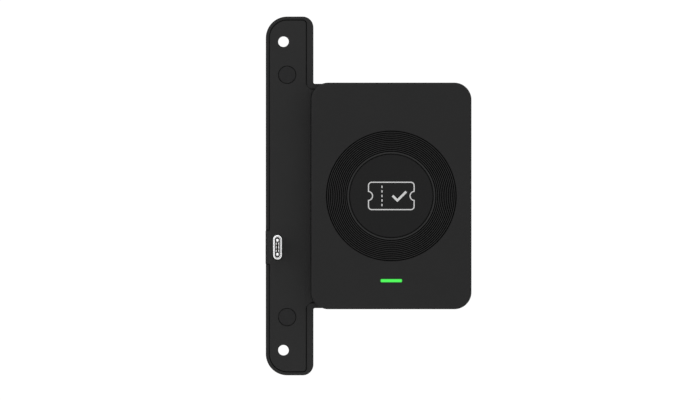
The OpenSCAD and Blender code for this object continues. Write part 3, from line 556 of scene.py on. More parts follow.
MATERIALS = {
    "case_plastic": moulded_plastic("case_plastic", (0.0125, 0.0125, 0.0127), 0.56, specular=0.25),
    # The bar's plastic is the case plastic painted lighter, standing in for light, to offset the shade that
    # the head casts on the bar.
    "bar_plastic_painted_lighter": moulded_plastic("bar_plastic_painted_lighter", (0.016, 0.016, 0.0162), 0.54, specular=0.25),
    # ring_plastic's near-black second colour is painted shade for the groove floors.
    "ring_plastic": turned_plastic(
        "ring_plastic", (0.021, 0.021, 0.0212), (0.0006, 0.0006, 0.0006), 0.42,
        (TARGET.x, RING_LOW.y, TARGET.z), specular=0.25),
    "disc_plastic": moulded_plastic(
        "disc_plastic", (0.0072, 0.0072, 0.0074), 0.5, grain=0.2 * MM, depth=0.004 * MM, specular=0.2),
    "print_ink": printed_ink("print_ink", (0.72, 0.72, 0.72)),
    "lens_green": lit_lens("lens_green", (0.042, 0.92, 0.066), (0.004, 0.16, 0.012), 0.93),
    "black_rubber": soft_rubber("black_rubber", (0.0125, 0.0125, 0.013)),
    "steel": brushed_metal("steel", (0.56, 0.565, 0.57), 0.32),
    "bright_steel": plated_metal("bright_steel", (0.93, 0.93, 0.94), 0.16),
    "black_steel": speckled(
        "black_steel", (0.03, 0.03, 0.032), (0.06, 0.06, 0.065), 0.4, 0.4 * MM, 0.004 * MM, metallic=0.6),
    "brass": brushed_metal("brass", (0.78, 0.56, 0.24), 0.3, stretch=(1, 0.1, 1)),
    "gold_contact": plated_metal("gold_contact", (0.9, 0.64, 0.25), 0.2),
    "circuit_board": circuit_board("circuit_board", (0.008, 0.075, 0.028)),
    "chip_black": speckled(
        "chip_black", (0.012, 0.012, 0.013), (0.035, 0.035, 0.037), 0.5, 0.15 * MM, 0.01 * MM),
    "component_mix": speckled(
        "component_mix", (0.3, 0.2, 0.12), (0.42, 0.3, 0.2), 0.35, 0.3 * MM, 0.005 * MM),
    "copper_track": brushed_metal("copper_track", (0.8, 0.36, 0.18), 0.3, stretch=(1, 1, 1)),
    "ferrite": speckled("ferrite", (0.03, 0.03, 0.034), (0.06, 0.06, 0.065), 0.5, 0.3 * MM, 0.01 * MM),
    "foam": open_foam("foam", (0.035, 0.035, 0.04)),
    "adhesive": speckled("adhesive", (0.55, 0.52, 0.4), (0.66, 0.63, 0.52), 0.6, 1.5 * MM, 0.01 * MM),
    "amber_film": amber_film("amber_film", (0.6, 0.26, 0.025)),
    "ribbon_white": flat_cable("ribbon_white", (0.78, 0.78, 0.75), (0.45, 0.46, 0.48)),
    "connector_cream": moulded_plastic(
        "connector_cream", (0.66, 0.62, 0.5), 0.4, grain=0.3 * MM, depth=0.006 * MM),
    "led_lens": speckled("led_lens", (0.75, 0.72, 0.35), (0.85, 0.82, 0.5), 0.3, 0.2 * MM, 0.005 * MM),
    "insulator_black": moulded_plastic(
        "insulator_black", (0.012, 0.012, 0.0125), 0.35, grain=0.15 * MM, depth=0.004 * MM),
}


# ---- reader head
def head_outline(y, inset):
    """The head's outline as a plate, drawn in from its sides."""
    return slab((HEAD_LOW.x + inset, HEAD_HIGH.x - inset), y, (HEAD_LOW.z + inset, HEAD_HIGH.z - inset),
                HEAD_RADIUS - inset, HEAD_RADIUS - inset)


def screw_bosses():
    """Places of the head's four screws."""
    low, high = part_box("head_screws")
    return [(x, z) for x in (low.x + SCREW_HEAD_RADIUS, high.x - SCREW_HEAD_RADIUS)
            for z in (low.z + SCREW_HEAD_RADIUS, high.z - SCREW_HEAD_RADIUS)]


def head_cover():
    """A hollow lid: front face with its recess and window, bosses, a fence and a groove for the gasket."""
    insert_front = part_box("head_inserts")[0].y
    inside = HEAD_LOW.y + HEAD_FRONT
    shell = head_outline((HEAD_LOW.y, SEAT), 0)
    bevel(shell, rim_at(HEAD_LOW.y), HEAD_EDGE, 6)
    bevel(shell, rim_at(SEAT), 0.12 * MM, 2)
    cut(shell, head_outline((inside, SEAT + PAST), WALL))
    fuse(shell, *[rod(x, z, inside - ROOT, SEAT, BOSS_RADIUS) for x, z in screw_bosses()])
    antenna_low, antenna_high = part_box("antenna_board")
    frame_gap = 0.2 * MM
    rib = 1 * MM
    fence = block((antenna_low.x - frame_gap - rib, inside - ROOT, antenna_low.z - frame_gap - rib),
                  (antenna_high.x + frame_gap + rib, inside + rib, antenna_high.z + frame_gap + rib))
    cut(fence, block((antenna_low.x - frame_gap, inside - PAST, antenna_low.z - frame_gap),
                     (antenna_high.x + frame_gap, inside + 2 * rib, antenna_high.z + frame_gap)))
    fuse(shell, fence)
    cut(shell, *[rod(x, z, insert_front - 1.2 * MM, SEAT + PAST, INSERT_BORE, BORE_SIDES)
                 for x, z in screw_bosses()])
    groove = head_outline((SEAT - 0.8 * MM, SEAT + PAST), 0.52 * MM)
    cut(groove, head_outline((SEAT - PAST, SEAT + 2 * PAST), 1.48 * MM))
    cut(shell, groove)
    recess = rod(TARGET.x, TARGET.z, HEAD_LOW.y - PAST, RING_HIGH.y, RING_RADIUS + 0.03 * MM, TURN_STEPS)
    light = box_middle("light_pipe")
    window = stadium(light.x, light.z, HEAD_LOW.y - PAST, inside + PAST,
                     WINDOW_HIGH + WINDOW_GAP, WINDOW_LONG + WINDOW_GAP, upright=False)
    cut(shell, recess, window)

    def at_opening(point):
        return abs(point.x - TARGET.x) < RING_RADIUS + PAST and abs(point.z) < 34 * MM

    bevel(shell, rim_at(HEAD_LOW.y, at_opening), 0.1 * MM, 2)
    place(shell, "moulded_head_cover", "case_plastic", ["head_cover"])


def grooved_ring():
    """The ring's section is cut out of a plate, its crests are rounded, and it is turned once round."""
    groove_floor = RING_LOW.y + 0.8 * MM
    inner = DISC_RADIUS + 0.36 * MM
    pitch = 0.68 * MM
    groove = 0.44 * MM
    grooves = 12
    starts = [RING_RADIUS - i * pitch - groove for i in range(grooves)]
    bpy.ops.object.select_all(action="DESELECT")
    bpy.ops.mesh.primitive_plane_add(
        size=1, location=(TARGET.x + (inner + RING_RADIUS) / 2, TARGET.y, TARGET.z))
    ring = bpy.context.active_object
    ring.scale = (RING_RADIUS - inner, RING_HIGH.y - RING_LOW.y, 1)
    settle(ring)
    pick(ring, "VERT", lambda vertex: True)
    bpy.ops.mesh.bisect(plane_co=(0, groove_floor, 0), plane_no=(0, 1, 0))
    for start in starts:
        for radius in (start, start + groove):
            if radius < RING_RADIUS - TOUCH:
                bpy.ops.mesh.select_all(action="SELECT")
                bpy.ops.mesh.bisect(plane_co=(TARGET.x + radius, 0, 0), plane_no=(1, 0, 0))
    done()

    def in_groove(face):
        middle = face.calc_center_median()
        radius = middle.x - TARGET.x
        return middle.y < groove_floor and any(start < radius < start + groove for start in starts)

    pick(ring, "FACE", in_groove)
    bpy.ops.mesh.delete(type="FACE")
    bpy.ops.mesh.select_all(action="SELECT")
    bpy.ops.mesh.dissolve_limited(angle_limit=math.radians(1))
    done()
    pick(ring, "VERT", lambda vertex: abs(vertex.co.y - RING_LOW.y) < TOUCH)
    bpy.ops.mesh.bevel(offset=0.07 * MM, segments=2, affect="VERTICES")
    bpy.ops.mesh.select_mode(type="FACE")
    bpy.ops.mesh.select_all(action="SELECT")
    bpy.ops.mesh.delete(type="ONLY_FACE")
    bpy.ops.mesh.select_mode(type="VERT")
    bpy.ops.mesh.select_all(action="SELECT")
    bpy.ops.mesh.spin(steps=TURN_STEPS, angle=2 * math.pi, center=TARGET, axis=(0, 1, 0), use_auto_merge=True)
    done()
    place(ring, "grooved_target_ring", "ring_plastic", ["ring_insert"])


def symbol_disc():
    """A smooth disc with a rounded edge in the middle of the ring."""
    disc = rod(TARGET.x, TARGET.z, DISC_LOW.y, DISC_HIGH.y, DISC_RADIUS, TURN_STEPS)
    bevel(disc, rim_at(DISC_LOW.y), 0.2 * MM, 3)
    bevel(disc, rim_at(DISC_HIGH.y), 0.1 * MM, 2)
    place(disc, "smooth_symbol_disc", "disc_plastic", ["symbol_disc"])


def light_pipe():
    """A window flush with the face, a flange behind the wall and a guide back to the lights."""
    middle = box_middle("light_pipe")
    inside = HEAD_LOW.y + HEAD_FRONT
    lens = stadium(middle.x, middle.z, LENS_LOW.y, inside + ROOT, WINDOW_HIGH, WINDOW_LONG, upright=False)
    bevel(lens, rim_at(LENS_LOW.y), 0.12 * MM, 2)
    half_flange = 3.85 * MM
    flange = slab((middle.x - half_flange, middle.x + half_flange), (inside, inside + 1 * MM),
                  (LENS_LOW.z, LENS_HIGH.z), 0.4 * MM, 0.4 * MM, 4)
    half_guide = 3.35 * MM
    guide = slab((middle.x - half_guide, middle.x + half_guide), (inside + ROOT, LENS_HIGH.y),
                 (middle.z - WINDOW_HIGH / 2, middle.z + WINDOW_HIGH / 2), 0.15 * MM, 0.15 * MM, 3)
    fuse(lens, flange, guide)
    place(lens, "lit_light_pipe", "lens_green", ["light_pipe"])


# ---- bar
def hollow_corners(y, x, top, radius):
    """Fills the two inner corners that a bar's side at x makes with a wider part of the given height."""
    corners = []
    for side in (-1, 1):
        edge = side * (top - PAST)
        tip = side * (top + radius)
        corner = block((x - PAST, y[0], min(edge, tip)), (x + radius, y[1], max(edge, tip)))
        cut(corner, rod(x + radius, tip, y[0] - PAST, y[1] + PAST, radius, 64))
        corners.append(flatten(corner))
    return corners


def cover_outline():
    """The bar cover: a plate inside the rim and a tab under the head, with rounded inner corners."""
    inset = RIM + SHADOW_GAP
    right = BAR_RIGHT - RIM_INNER - SHADOW_GAP
    top = TAB_TOP - SHADOW_GAP
    plate = slab((BAR_LEFT + inset, right), (0, COVER_THICK), (inset - BAR_TOP, BAR_TOP - inset),
                 BAR_OUTER_RADIUS - inset, BAR_INNER_RADIUS - RIM_INNER - SHADOW_GAP)
    for z in (-top, top):
        pick(plate, "VERT", lambda vertex: True)
        bpy.ops.mesh.bisect(plane_co=(0, 0, z), plane_no=(0, 0, 1))
        done()
    draw_out(plate, lambda face: face.normal.x > 0.99 and abs(face.calc_center_median().z) < top,
             (TAB_END - right, 0, 0))

    def at_corner(point):
        return abs(point.x - right) < TOUCH and abs(abs(point.z) - top) < TOUCH

    bevel(plate, lambda edge: all(at_corner(vertex.co) for vertex in edge.verts),
          COVER_FILLET, CORNER_STEPS)
    return plate


def cover_pocket():
    """What the housing leaves free for the bar cover and the gap round it."""
    y = (-PAST, COVER_THICK)
    right = BAR_RIGHT - RIM_INNER
    pocket = slab((BAR_LEFT + RIM, right), y, (RIM - BAR_TOP, BAR_TOP - RIM),
                  BAR_OUTER_RADIUS - RIM, BAR_INNER_RADIUS - RIM_INNER)
    tab = block((right - PAST, y[0], -TAB_TOP), (TAB_END + SHADOW_GAP, y[1], TAB_TOP))
    return fuse(pocket, tab, *hollow_corners(y, right, TAB_TOP, COVER_FILLET - SHADOW_GAP))


def pad_outline(y, grow):
    """The pad round the plug, which breaks through the rim to the bar's side."""
    return block((COVER_LOW.x - 4 * grow, y[0], PLUG.z - PAD_HALF - grow),
                 (BAR_LEFT + RIM + PAST, y[1], PLUG.z + PAD_HALF + grow))


def head_seat():
    """The space that the head cover's rim takes, with a little room round it."""
    return head_outline((-PAST, SEAT), -SEAT_GAP)


def cap_places():
    """Middles of the two screw caps."""
    return [box_middle(node) for node in ("screw_cap_upper", "screw_cap_lower")]


def sleeve_places():
    """Axes of the two through-holes."""
    low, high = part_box("mounting_sleeves")
    radius = (high.x - low.x) / 2
    return [(low.x + radius, z) for z in (low.z + radius, high.z - radius)]


def bar_cover():
    """The plate with its pad, cups for the caps, through-holes and the opening round the plug."""
    cup_wall = 0.9 * MM
    seat_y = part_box("bar_screws")[0].y + SCREW_HEAD_HEIGHT
    plate = cover_outline()
    fuse(plate, pad_outline((0, COVER_THICK), 0))
    for cap in cap_places():
        fuse(plate, rod(cap.x, cap.z, COVER_THICK - ROOT, COVER_HIGH.y, CAP_WELL_RADIUS + cup_wall))
        cut(plate, rod(cap.x, cap.z, -PAST, seat_y, CAP_WELL_RADIUS),
            rod(cap.x, cap.z, 0, COVER_HIGH.y + PAST, SCREW_BORE, BORE_SIDES))
    for x, z in sleeve_places():
        cut(plate, rod(x, z, -PAST, COVER_THICK + PAST, FIXING_HOLE_RADIUS))
    slit = 0.25 * MM
    cut(plate, stadium(PLUG.x, PLUG.z, -PAST, COVER_THICK + PAST,
                       COLLAR_HIGH.x - COLLAR_LOW.x + 2 * slit, COLLAR_HIGH.z - COLLAR_LOW.z + 2 * slit))
    cut(plate, head_seat())
    bevel(plate, rim_at(0), 0.1 * MM, 2)
    place(plate, "moulded_bar_cover", "case_plastic", ["bar_cover"], material="bar_plastic_painted_lighter")


def rear_housing():
    """One moulding: the bar with its pocket, and the tray that closes the head from behind."""
    back_edge = 0.6 * MM
    shell = slab((BAR_LEFT, BAR_RIGHT), (0, REAR), (-BAR_TOP, BAR_TOP), BAR_OUTER_RADIUS, BAR_INNER_RADIUS)
    bevel(shell, rim_at(0), 0.25 * MM, 3)
    bevel(shell, rim_at(REAR), back_edge, 4)
    tray = slab((BAR_RIGHT - 2 * MM, HEAD_HIGH.x - TRAY_INSET), (0, REAR), (-TRAY_TOP, TRAY_TOP),
                0, HEAD_RADIUS - TRAY_INSET)
    bevel(tray, rim_at(REAR), back_edge, 4)
    fuse(shell, tray, *hollow_corners((0.3 * MM, REAR - back_edge), BAR_RIGHT, TRAY_TOP, TRAY_CORNER))
    cavity_right = BAR_RIGHT - RIM_INNER - SHADOW_GAP - LEDGE
    cavity_top = BAR_TOP - CAVITY
    cut(shell, cover_pocket(), pad_outline((-PAST, COVER_THICK), SHADOW_GAP))
    cut(shell, slab((BAR_LEFT + CAVITY, cavity_right), (COVER_THICK - PAST, FLOOR), (-cavity_top, cavity_top),
                    BAR_OUTER_RADIUS - CAVITY, 1 * MM))
    cut(shell, head_outline((-PAST, FLOOR), TRAY_HOLLOW))
    cut(shell, block((cavity_right - PAST, COVER_THICK - PAST, -NECK_TOP),
                     (HEAD_LOW.x + TRAY_HOLLOW + PAST, FLOOR, NECK_TOP)))
    cut(shell, head_seat())
    lip = head_outline((SEAT - 1.2 * MM, SEAT + PAST), WALL + 0.1 * MM)
    cut(lip, head_outline((SEAT - 3 * MM, SEAT + 3 * MM), WALL + 1.1 * MM),
        block((HEAD_LOW.x - PAST, -5 * MM, -BAR_TOP), (TAB_END + 2 * MM, 5 * MM, BAR_TOP)))
    fuse(shell, lip)
    low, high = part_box("board_screws")
    posts = [(x, z) for x in (low.x + BOARD_SCREW_HEAD_RADIUS, high.x - BOARD_SCREW_HEAD_RADIUS)
             for z in (low.z + BOARD_SCREW_HEAD_RADIUS, high.z - BOARD_SCREW_HEAD_RADIUS)]
    root = FLOOR + ROOT
    fuse(shell, *[rod(x, z, SEAT, root, BOSS_RADIUS) for x, z in screw_bosses()])
    fuse(shell, *[rod(x, z, BOARD_BACK, root, 2.5 * MM, 64) for x, z in posts])
    fuse(shell, *[rod(x, z, COVER_THICK, root, 3.65 * MM) for x, z in sleeve_places()])
    fuse(shell, *[rod(cap.x, cap.z, COVER_HIGH.y, root, 2.8 * MM) for cap in cap_places()])
    arm_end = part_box("stiffener_plate")[1].x
    rib = 1.2 * MM
    half_rib = 0.5 * MM
    post_x, post_z = posts[-1]
    for x in (arm_end + 10 * MM, arm_end + 20 * MM):
        reach = post_z - 3.5 * MM
        fuse(shell, block((x - half_rib, FLOOR - rib, -reach), (x + half_rib, FLOOR + rib / 2, reach)))
    for z in (-17 * MM, 17 * MM):
        reach = post_x - TARGET.x - 4 * MM
        fuse(shell, block((TARGET.x - reach, FLOOR - rib, z - half_rib),
                          (TARGET.x + reach, FLOOR + rib / 2, z + half_rib)))
    cut(shell, *[rod(x, z, -PAST, REAR + PAST, SCREW_BORE, BORE_SIDES) for x, z in screw_bosses()])
    cut(shell, *[rod(x, z, REAR - 3 * MM, REAR + PAST, 2.5 * MM, 64) for x, z in screw_bosses()])
    cut(shell, *[rod(x, z, BOARD_BACK - PAST, FLOOR + 0.6 * MM, BOARD_SCREW_BORE, BORE_SIDES)
                 for x, z in posts])
    cut(shell, *[rod(x, z, -PAST, REAR + PAST, 2.88 * MM) for x, z in sleeve_places()])
    insert_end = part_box("bar_inserts")[1].y
    cut(shell, *[rod(cap.x, cap.z, COVER_HIGH.y - PAST, insert_end, INSERT_BORE, BORE_SIDES)
                 for cap in cap_places()])
    label_x, label_z = 21 * MM, 12 * MM
    label = slab((TARGET.x - label_x, TARGET.x + label_x), (REAR - 0.3 * MM, REAR + PAST),
                 (-label_z, label_z), 2 * MM, 2 * MM, 8)
    cut(shell, label)

    def at_label(point):
        return abs(point.x - TARGET.x) < label_x + 1 * MM and abs(point.z) < label_z + 1 * MM

    bevel(shell, rim_at(REAR, at_label), 0.08 * MM, 2)
    place(shell, "moulded_rear_housing", "case_plastic", ["rear_housing"], material="bar_plastic_painted_lighter")


def screw_cap(node, body):
    """A rubber plug: flush face, stepped skirt that grips the well, hollow behind."""
    low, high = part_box(node)
    middle = (low + high) / 2
    skirt = (high.x - low.x) / 2
    step = 0.5 * MM
    cap = rod(middle.x, middle.z, low.y + step, high.y, skirt)
    face_wall = 0.3 * MM
    skirt_wall = 1.17 * MM
    pick(cap, "FACE", lambda face: face.normal.y < -0.9)
    bpy.ops.mesh.inset(thickness=0.22 * MM)
    bpy.ops.mesh.extrude_region_move(TRANSFORM_OT_translate={"value": (0, -step, 0)})
    done()
    pick(cap, "FACE", lambda face: face.normal.y > 0.9)
    bpy.ops.mesh.inset(thickness=skirt_wall)
    hollow_depth_shade = (high.y - low.y) - step - face_wall
    bpy.ops.mesh.extrude_region_move(TRANSFORM_OT_translate={"value": (0, -hollow_depth_shade, 0)})
    done()
    bevel(cap, rim_at(low.y), 0.15 * MM, 3)
    bevel(cap, rim_at(high.y), 0.08 * MM, 2)
    place(cap, "rubber_" + node, "black_rubber", [node], body=body)


def mounting_sleeves():
    """Steel sleeves with a chamfered mouth at the back."""
    low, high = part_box("mounting_sleeves")
    radius = (high.x - low.x) / 2
    tubes = []
    for x, z in sleeve_places():
        tube = rod(x, z, low.y, high.y, radius)
        cut(tube, rod(x, z, low.y - PAST, high.y + PAST, FIXING_HOLE_RADIUS))
        bevel(tube, rim_at(high.y), 0.2 * MM, 2)
        tubes.append(tube)
    pair = fuse(tubes[0], tubes[1])
    place(pair, "steel_mounting_sleeves", "steel", ["mounting_sleeves"])


# ---- plug
def plug_tube(low, high, wall, lip, name, node):
    """A drawn metal tube with half-round sides and a rolled front lip."""
    middle = (low + high) / 2
    tube = stadium(middle.x, middle.z, low.y, high.y, high.x - low.x, high.z - low.z)
    cut(tube, stadium(middle.x, middle.z, low.y - PAST, high.y + PAST,
                      high.x - low.x - 2 * wall, high.z - low.z - 2 * wall))
    bevel(tube, rim_at(low.y), lip, 3)
    place(tube, name, "bright_steel", [node])


def plug():
    """Shell, collar, and the insulating core with its slot."""
    plug_tube(SHELL_LOW, SHELL_HIGH, 0.25 * MM, 0.08 * MM, "drawn_plug_shell", "plug_shell")
    plug_tube(COLLAR_LOW, COLLAR_HIGH, 0.45 * MM, 0.15 * MM, "drawn_plug_collar", "plug_collar")
    core = stadium(PLUG.x, PLUG.z, CORE_LOW.y, CORE_HIGH.y,
                   CORE_HIGH.x - CORE_LOW.x, CORE_HIGH.z - CORE_LOW.z)
    bevel(core, rim_at(CORE_LOW.y), 0.08 * MM, 2)
    slot_x, slot_z, slot_depth = 0.65 * MM, 3.35 * MM, 5.2 * MM
    cut(core, block((PLUG.x - slot_x, CORE_LOW.y - PAST, PLUG.z - slot_z),
                    (PLUG.x + slot_x, CORE_LOW.y + slot_depth, PLUG.z + slot_z)))
    place(core, "plug_core", "insulator_black", ["plug_insulator"])


def plug_innards():
    """Side latches, earth springs and contact fingers inside the plug's mouth."""
    low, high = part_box("plug_latches")
    latch_high = 1.4 * MM
    latch = stadium(PLUG.x, low.z + latch_high / 2, low.y, high.y, 1.3 * MM, latch_high)
    bevel(latch, rim_at(low.y), 0.25 * MM, 4)
    pair = copies(latch, [(0, 0, high.z - low.z - latch_high)])
    place(pair, "sprung_side_latches", "bright_steel", ["plug_latches"])
    rows = (("plug_springs", 3, 1.3 * MM, 0.4 * MM, "earth_spring_fingers", "bright_steel", 0.12 * MM),
            ("plug_contacts", 8, 0.5 * MM, 0.25 * MM, "contact_fingers", "gold_contact", 0.08 * MM))
    for node, count, pitch, thick, name, slot, round_off in rows:
        low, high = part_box(node)
        width = high.z - low.z - (count - 1) * pitch
        finger = block((low.x, low.y, low.z), (low.x + thick, high.y, low.z + width))
        bevel(finger, rim_at(low.y), round_off, 3)
        across = high.x - low.x - thick
        moves = [(dx, 0, i * pitch) for dx in (0, across) for i in range(count)][1:]
        place(copies(finger, moves), name, slot, [node])


# ---- fasteners
def screw(x, z, head0, head1, tip, front):
    """A screw along Y: domed head with a six-lobed recess, and a shank."""
    outside = head0 if front else head1
    head = rod(x, z, head0, head1, SCREW_HEAD_RADIUS, 64)
    bevel(head, rim_at(outside), 0.35 * MM, 4)
    seat = head1 if front else head0
    overlap = 0.2 * MM
    shank = rod(x, z, min(seat - overlap, tip), max(seat + overlap, tip), SCREW_SHANK_RADIUS, BORE_SIDES)
    bevel(shank, rim_at(tip), 0.25 * MM, 2)
    fuse(head, shank)
    depth = (head1 - head0) * 0.55
    recess_radius = SCREW_HEAD_RADIUS * 0.42
    if front:
        recess = rod(x, z, outside - PAST, outside + depth, recess_radius, 36)
    else:
        recess = rod(x, z, outside - depth, outside + PAST, recess_radius, 36)
    for i in range(6):
        angle = i * math.pi / 3
        lobe = rod(x + math.cos(angle) * recess_radius, z + math.sin(angle) * recess_radius,
                   outside - 2 * PAST, outside + 2 * PAST, SCREW_HEAD_RADIUS * 0.12, 16)
        cut(recess, lobe)
    return cut(head, recess)


def screws(node, name, places, slot, front):
    """A set of screws, driven from the front or from behind."""
    low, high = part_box(node)
    if front:
        head0, head1, tip = low.y, low.y + SCREW_HEAD_HEIGHT, high.y
    else:
        head0, head1, tip = high.y - SCREW_HEAD_HEIGHT, high.y, low.y
    made = join([screw(x, z, head0, head1, tip, front) for x, z in places])
    place(made, name, slot, [node])


# ---- inner parts
def spread(first, moves, name, slot, nodes=()):
    """Copies a piece to its other places and places the set with its slot's own material."""
    place(copies(first, moves), name, slot, nodes)


def shield_lid():
    """A drawn lid over the controller, with rows of vent holes and feet between notches."""
    low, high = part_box("shield_can")
    middle = (low + high) / 2
    skin = 0.3 * MM
    lid = slab((low.x, high.x), (low.y, high.y), (low.z, high.z), 1 * MM, 1 * MM)
    bevel(lid, rim_at(low.y), 0.25 * MM, 3)
    cut(lid, slab((low.x + skin, high.x - skin), (low.y + skin, high.y + PAST), (low.z + skin, high.z - skin),
                  0.7 * MM, 0.7 * MM))
    pitch = 3.2 * MM
    vent = rod(middle.x - 2 * pitch, middle.z - 2 * pitch, low.y - PAST, low.y + skin + PAST, 0.55 * MM, 24)
    places = [(i, j) for i in range(5) for j in range(5) if (i, j) != (2, 2)]
    cut(lid, copies(vent, [(i * pitch, 0, j * pitch) for i, j in places[1:]]))
    notch = 1.5 * MM
    notch_top = high.y - 0.5 * MM
    for z in (low.z + 5 * MM, middle.z, high.z - 5 * MM):
        cut(lid, block((low.x - PAST, notch_top, z - notch), (high.x + PAST, high.y + PAST, z + notch)))
    place(lid, "drawn_shield_lid", "bright_steel", ["shield_can"])


def chip(x, z, width, height, top, board):
    """A moulded package: slanted rim, and a round mark beside its first pin."""
    package = block((x - width / 2, top, z - height / 2), (x + width / 2, board, z + height / 2))
    bevel(package, rim_at(top), 0.15 * MM, 1)
    mark = 0.35 * MM
    return cut(package, rod(x - width / 2 + 3 * mark, z + height / 2 - 3 * mark,
                            top - PAST, top + 0.1 * MM, mark, 24))


def chips():
    """The controller under the lid and the two leaded chips beside it."""
    low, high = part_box("control_chips")
    lid = box_middle("shield_can")
    controller = 7 * MM
    side = 5 * MM
    lead = 0.8 * MM
    x = high.x - side / 2
    upper_z = high.z - side / 2
    lower_z = low.z + side / 2
    driver = 4 * MM
    packages = [chip(lid.x, lid.z, controller, controller, low.y, high.y),
                chip(x, upper_z, side - 2 * lead, side, low.y, high.y),
                chip(x, lower_z, driver - 2 * lead, side, low.y, high.y)]
    place(join(packages), "moulded_chips", "chip_black", ["control_chips"])
    pitch = 0.65 * MM
    half_lead = 0.14 * MM
    shoulder = high.y - 0.5 * MM
    sets = []
    for z, width in ((upper_z, side), (lower_z, driver)):
        for end in (-1, 1):
            root = x + end * (width / 2 - lead)
            tip = x + end * width / 2
            first_z = z - 3 * pitch
            leg = block((min(root, tip), shoulder, first_z - half_lead),
                        (max(root, tip), high.y, first_z + half_lead))
            bevel(leg, lambda edge: all(abs(vertex.co.x - tip) < TOUCH and vertex.co.y < shoulder + TOUCH
                                        for vertex in edge.verts), 0.3 * MM, 3)
            knee = tip - end * lead / 2
            cut(leg, block((min(root, knee) - PAST * (end > 0), shoulder + 0.15 * MM, first_z - lead),
                           (max(root, knee) + PAST * (end < 0), high.y + PAST, first_z + lead)))
            sets.append(copies(leg, [(0, 0, i * pitch) for i in range(1, 7)]))
    place(join(sets), "bent_chip_leads", "bright_steel", [])


def ceramic_parts():
    """Capacitors and resistors: a ceramic block between two tinned ends, in two rows."""
    low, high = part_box("small_parts")
    width, length, end = 0.9 * MM, 1.7 * MM, 0.35 * MM
    pitch = 2.5 * MM
    sink = 0.05 * MM
    lower_x = high.x - width - 5 * pitch
    lower_z = low.z - (high.z - length)
    moves = [(i * pitch, 0, 0) for i in range(1, 8)]
    moves += [(lower_x - low.x + i * pitch, 0, lower_z) for i in range(6)]
    z = high.z - length
    middle = block((low.x + sink, low.y + sink, z + end), (low.x + width - sink, high.y, z + length - end))
    bevel(middle, rim_at(low.y + sink), 0.04 * MM, 1)
    spread(middle, moves, "ceramic_blocks", "component_mix", ["small_parts"])
    tinned = block((low.x, low.y, z), (low.x + width, high.y, z + end))
    bevel(tinned, lambda edge: edge.calc_face_angle(0) > SHARP, 0.07 * MM, 2)
    ends = copies(tinned, [(0, 0, length - end)])
    spread(ends, moves, "tinned_ends", "bright_steel")


def crystal():
    """A pressed can with a flange round its foot."""
    low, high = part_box("crystal_can")
    middle = (low + high) / 2
    flange = 0.25 * MM
    thick, long = high.z - low.z, high.x - low.x
    can = stadium(middle.x, middle.z, low.y, high.y, thick - 2 * flange, long - 2 * flange, upright=False)
    bevel(can, rim_at(low.y), 0.3 * MM, 4)
    fuse(can, stadium(middle.x, middle.z, high.y - flange, high.y, thick, long, upright=False))
    place(can, "pressed_crystal_can", "bright_steel", ["crystal_can"])


def sounder():
    """The buzzer: a stepped round case with a sound hole."""
    low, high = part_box("buzzer")
    middle = (low + high) / 2
    radius = (high.x - low.x) / 2
    case = rod(middle.x, middle.z, low.y, high.y, radius - 0.35 * MM, 72)
    bevel(case, rim_at(low.y), 0.4 * MM, 4)
    fuse(case, rod(middle.x, middle.z, high.y - 1 * MM, high.y, radius, 72))
    cut(case, rod(middle.x, middle.z, low.y - PAST, low.y + 0.8 * MM, 1 * MM, 36))
    place(case, "round_buzzer_case", "chip_black", ["buzzer"])


# ---- CAD solids that stay
def dress_frame():
    """Gives each CAD solid the material of its slot in the record."""
    slots = {part["node"]: part["material_slot"] for part in frame["record"]["subparts"]}
    for node, piece in frame["nodes"].items():
        piece.data.materials.clear()
        piece.data.materials.append(MATERIALS[slots[node]])


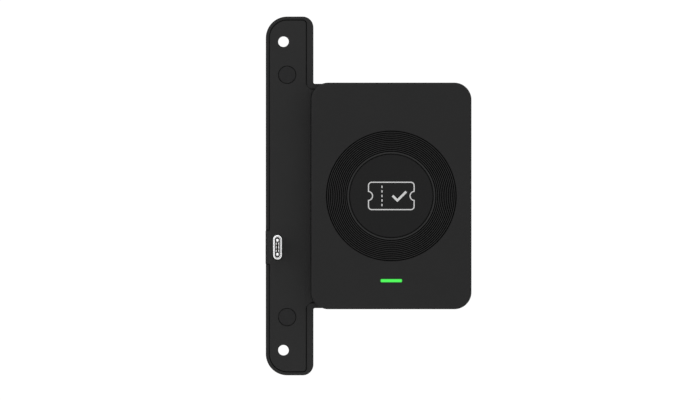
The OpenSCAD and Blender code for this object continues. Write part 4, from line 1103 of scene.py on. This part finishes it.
# ---- studio
def studio():
    """White surroundings, soft boxes in front, beside, above and behind, and a pale floor."""
    world = bpy.data.worlds.new("studio")
    bpy.context.scene.world = world
    world.use_nodes = True
    tree = world.node_tree
    tree.nodes.clear()
    path = tree.nodes.new("ShaderNodeLightPath")
    seen = tree.nodes.new("ShaderNodeBackground")
    lighting = tree.nodes.new("ShaderNodeBackground")
    for background, strength in ((seen, 1.05), (lighting, 0.475)):
        background.inputs["Color"].default_value = (1, 1, 1, 1)
        background.inputs["Strength"].default_value = strength
    mix = tree.nodes.new("ShaderNodeMixShader")
    output = tree.nodes.new("ShaderNodeOutputWorld")
    tree.links.new(path.outputs["Is Camera Ray"], mix.inputs[0])
    tree.links.new(lighting.outputs[0], mix.inputs[1])
    tree.links.new(seen.outputs[0], mix.inputs[2])
    tree.links.new(mix.outputs[0], output.inputs["Surface"])
    aim = Vector((0.03, 0, 0))
    soft_boxes = (    # name, place, size in metres, watts
        ("left_box", (-0.55, -0.55, 0.25), 0.5, 1.15),
        ("right_box", (0.6, -0.55, 0.25), 0.5, 0.5),
        ("top_box", (0.03, -0.45, 0.6), 0.4, 0.85),
        ("front_box", (0.03, -3.3, 0.2), 0.9, 3.8),
        ("rear_left_box", (-0.5, 0.5, 0.3), 0.35, 2.2),
        ("rear_right_box", (0.55, 0.5, 0.45), 0.35, 3.0),
    )
    for name, spot, size, power in soft_boxes:
        light = bpy.data.lights.new(name, "AREA")
        light.size = size
        light.energy = power
        lamp = bpy.data.objects.new(name, light)
        lamp.location = spot
        lamp.rotation_euler = (aim - Vector(spot)).to_track_quat("-Z", "Y").to_euler()
        bpy.context.scene.collection.objects.link(lamp)
    bpy.ops.object.select_all(action="DESELECT")
    bpy.ops.mesh.primitive_plane_add(size=0.6, location=(aim.x, 0, -0.085))
    floor = settle(bpy.context.active_object)
    floor.name = "studio_floor"
    paper = Shader("studio_paper")
    fibres = paper.noise(2 * MM)
    tint = paper.blend(fibres, (0.78, 0.78, 0.77), (0.84, 0.84, 0.83))
    floor.data.materials.append(paper.surface(tint, 0.8 + fibres * 0.1, paper.bump(fibres, 0.05 * MM)))


def camera():
    """A long lens, square to the front."""
    lens = bpy.data.cameras.new("camera")
    lens.lens = 400
    lens.sensor_width = 36
    lens.clip_end = 20
    lens.dof.use_dof = False
    view_width = 261.8 * MM
    eye = bpy.data.objects.new("camera", lens)
    eye.location = (24.9 * MM, -view_width * lens.lens / lens.sensor_width, -1.52 * MM)
    eye.rotation_euler = (math.pi / 2, 0, 0)
    bpy.context.scene.collection.objects.link(eye)
    bpy.context.scene.camera = eye
    bpy.context.scene.view_settings.view_transform = "Standard"


camera()
studio()
dress_frame()
head_cover()
grooved_ring()
symbol_disc()
light_pipe()
bar_cover()
rear_housing()
screw_cap("screw_cap_upper", "upper_cap")
screw_cap("screw_cap_lower", "lower_cap")
mounting_sleeves()
plug()
plug_innards()
shield_lid()
chips()
ceramic_parts()
crystal()
sounder()
screws("head_screws", "head_screw_set", screw_bosses(), "black_steel", front=False)
screws("bar_screws", "bar_screw_set", [(cap.x, cap.z) for cap in cap_places()], "steel", front=True)
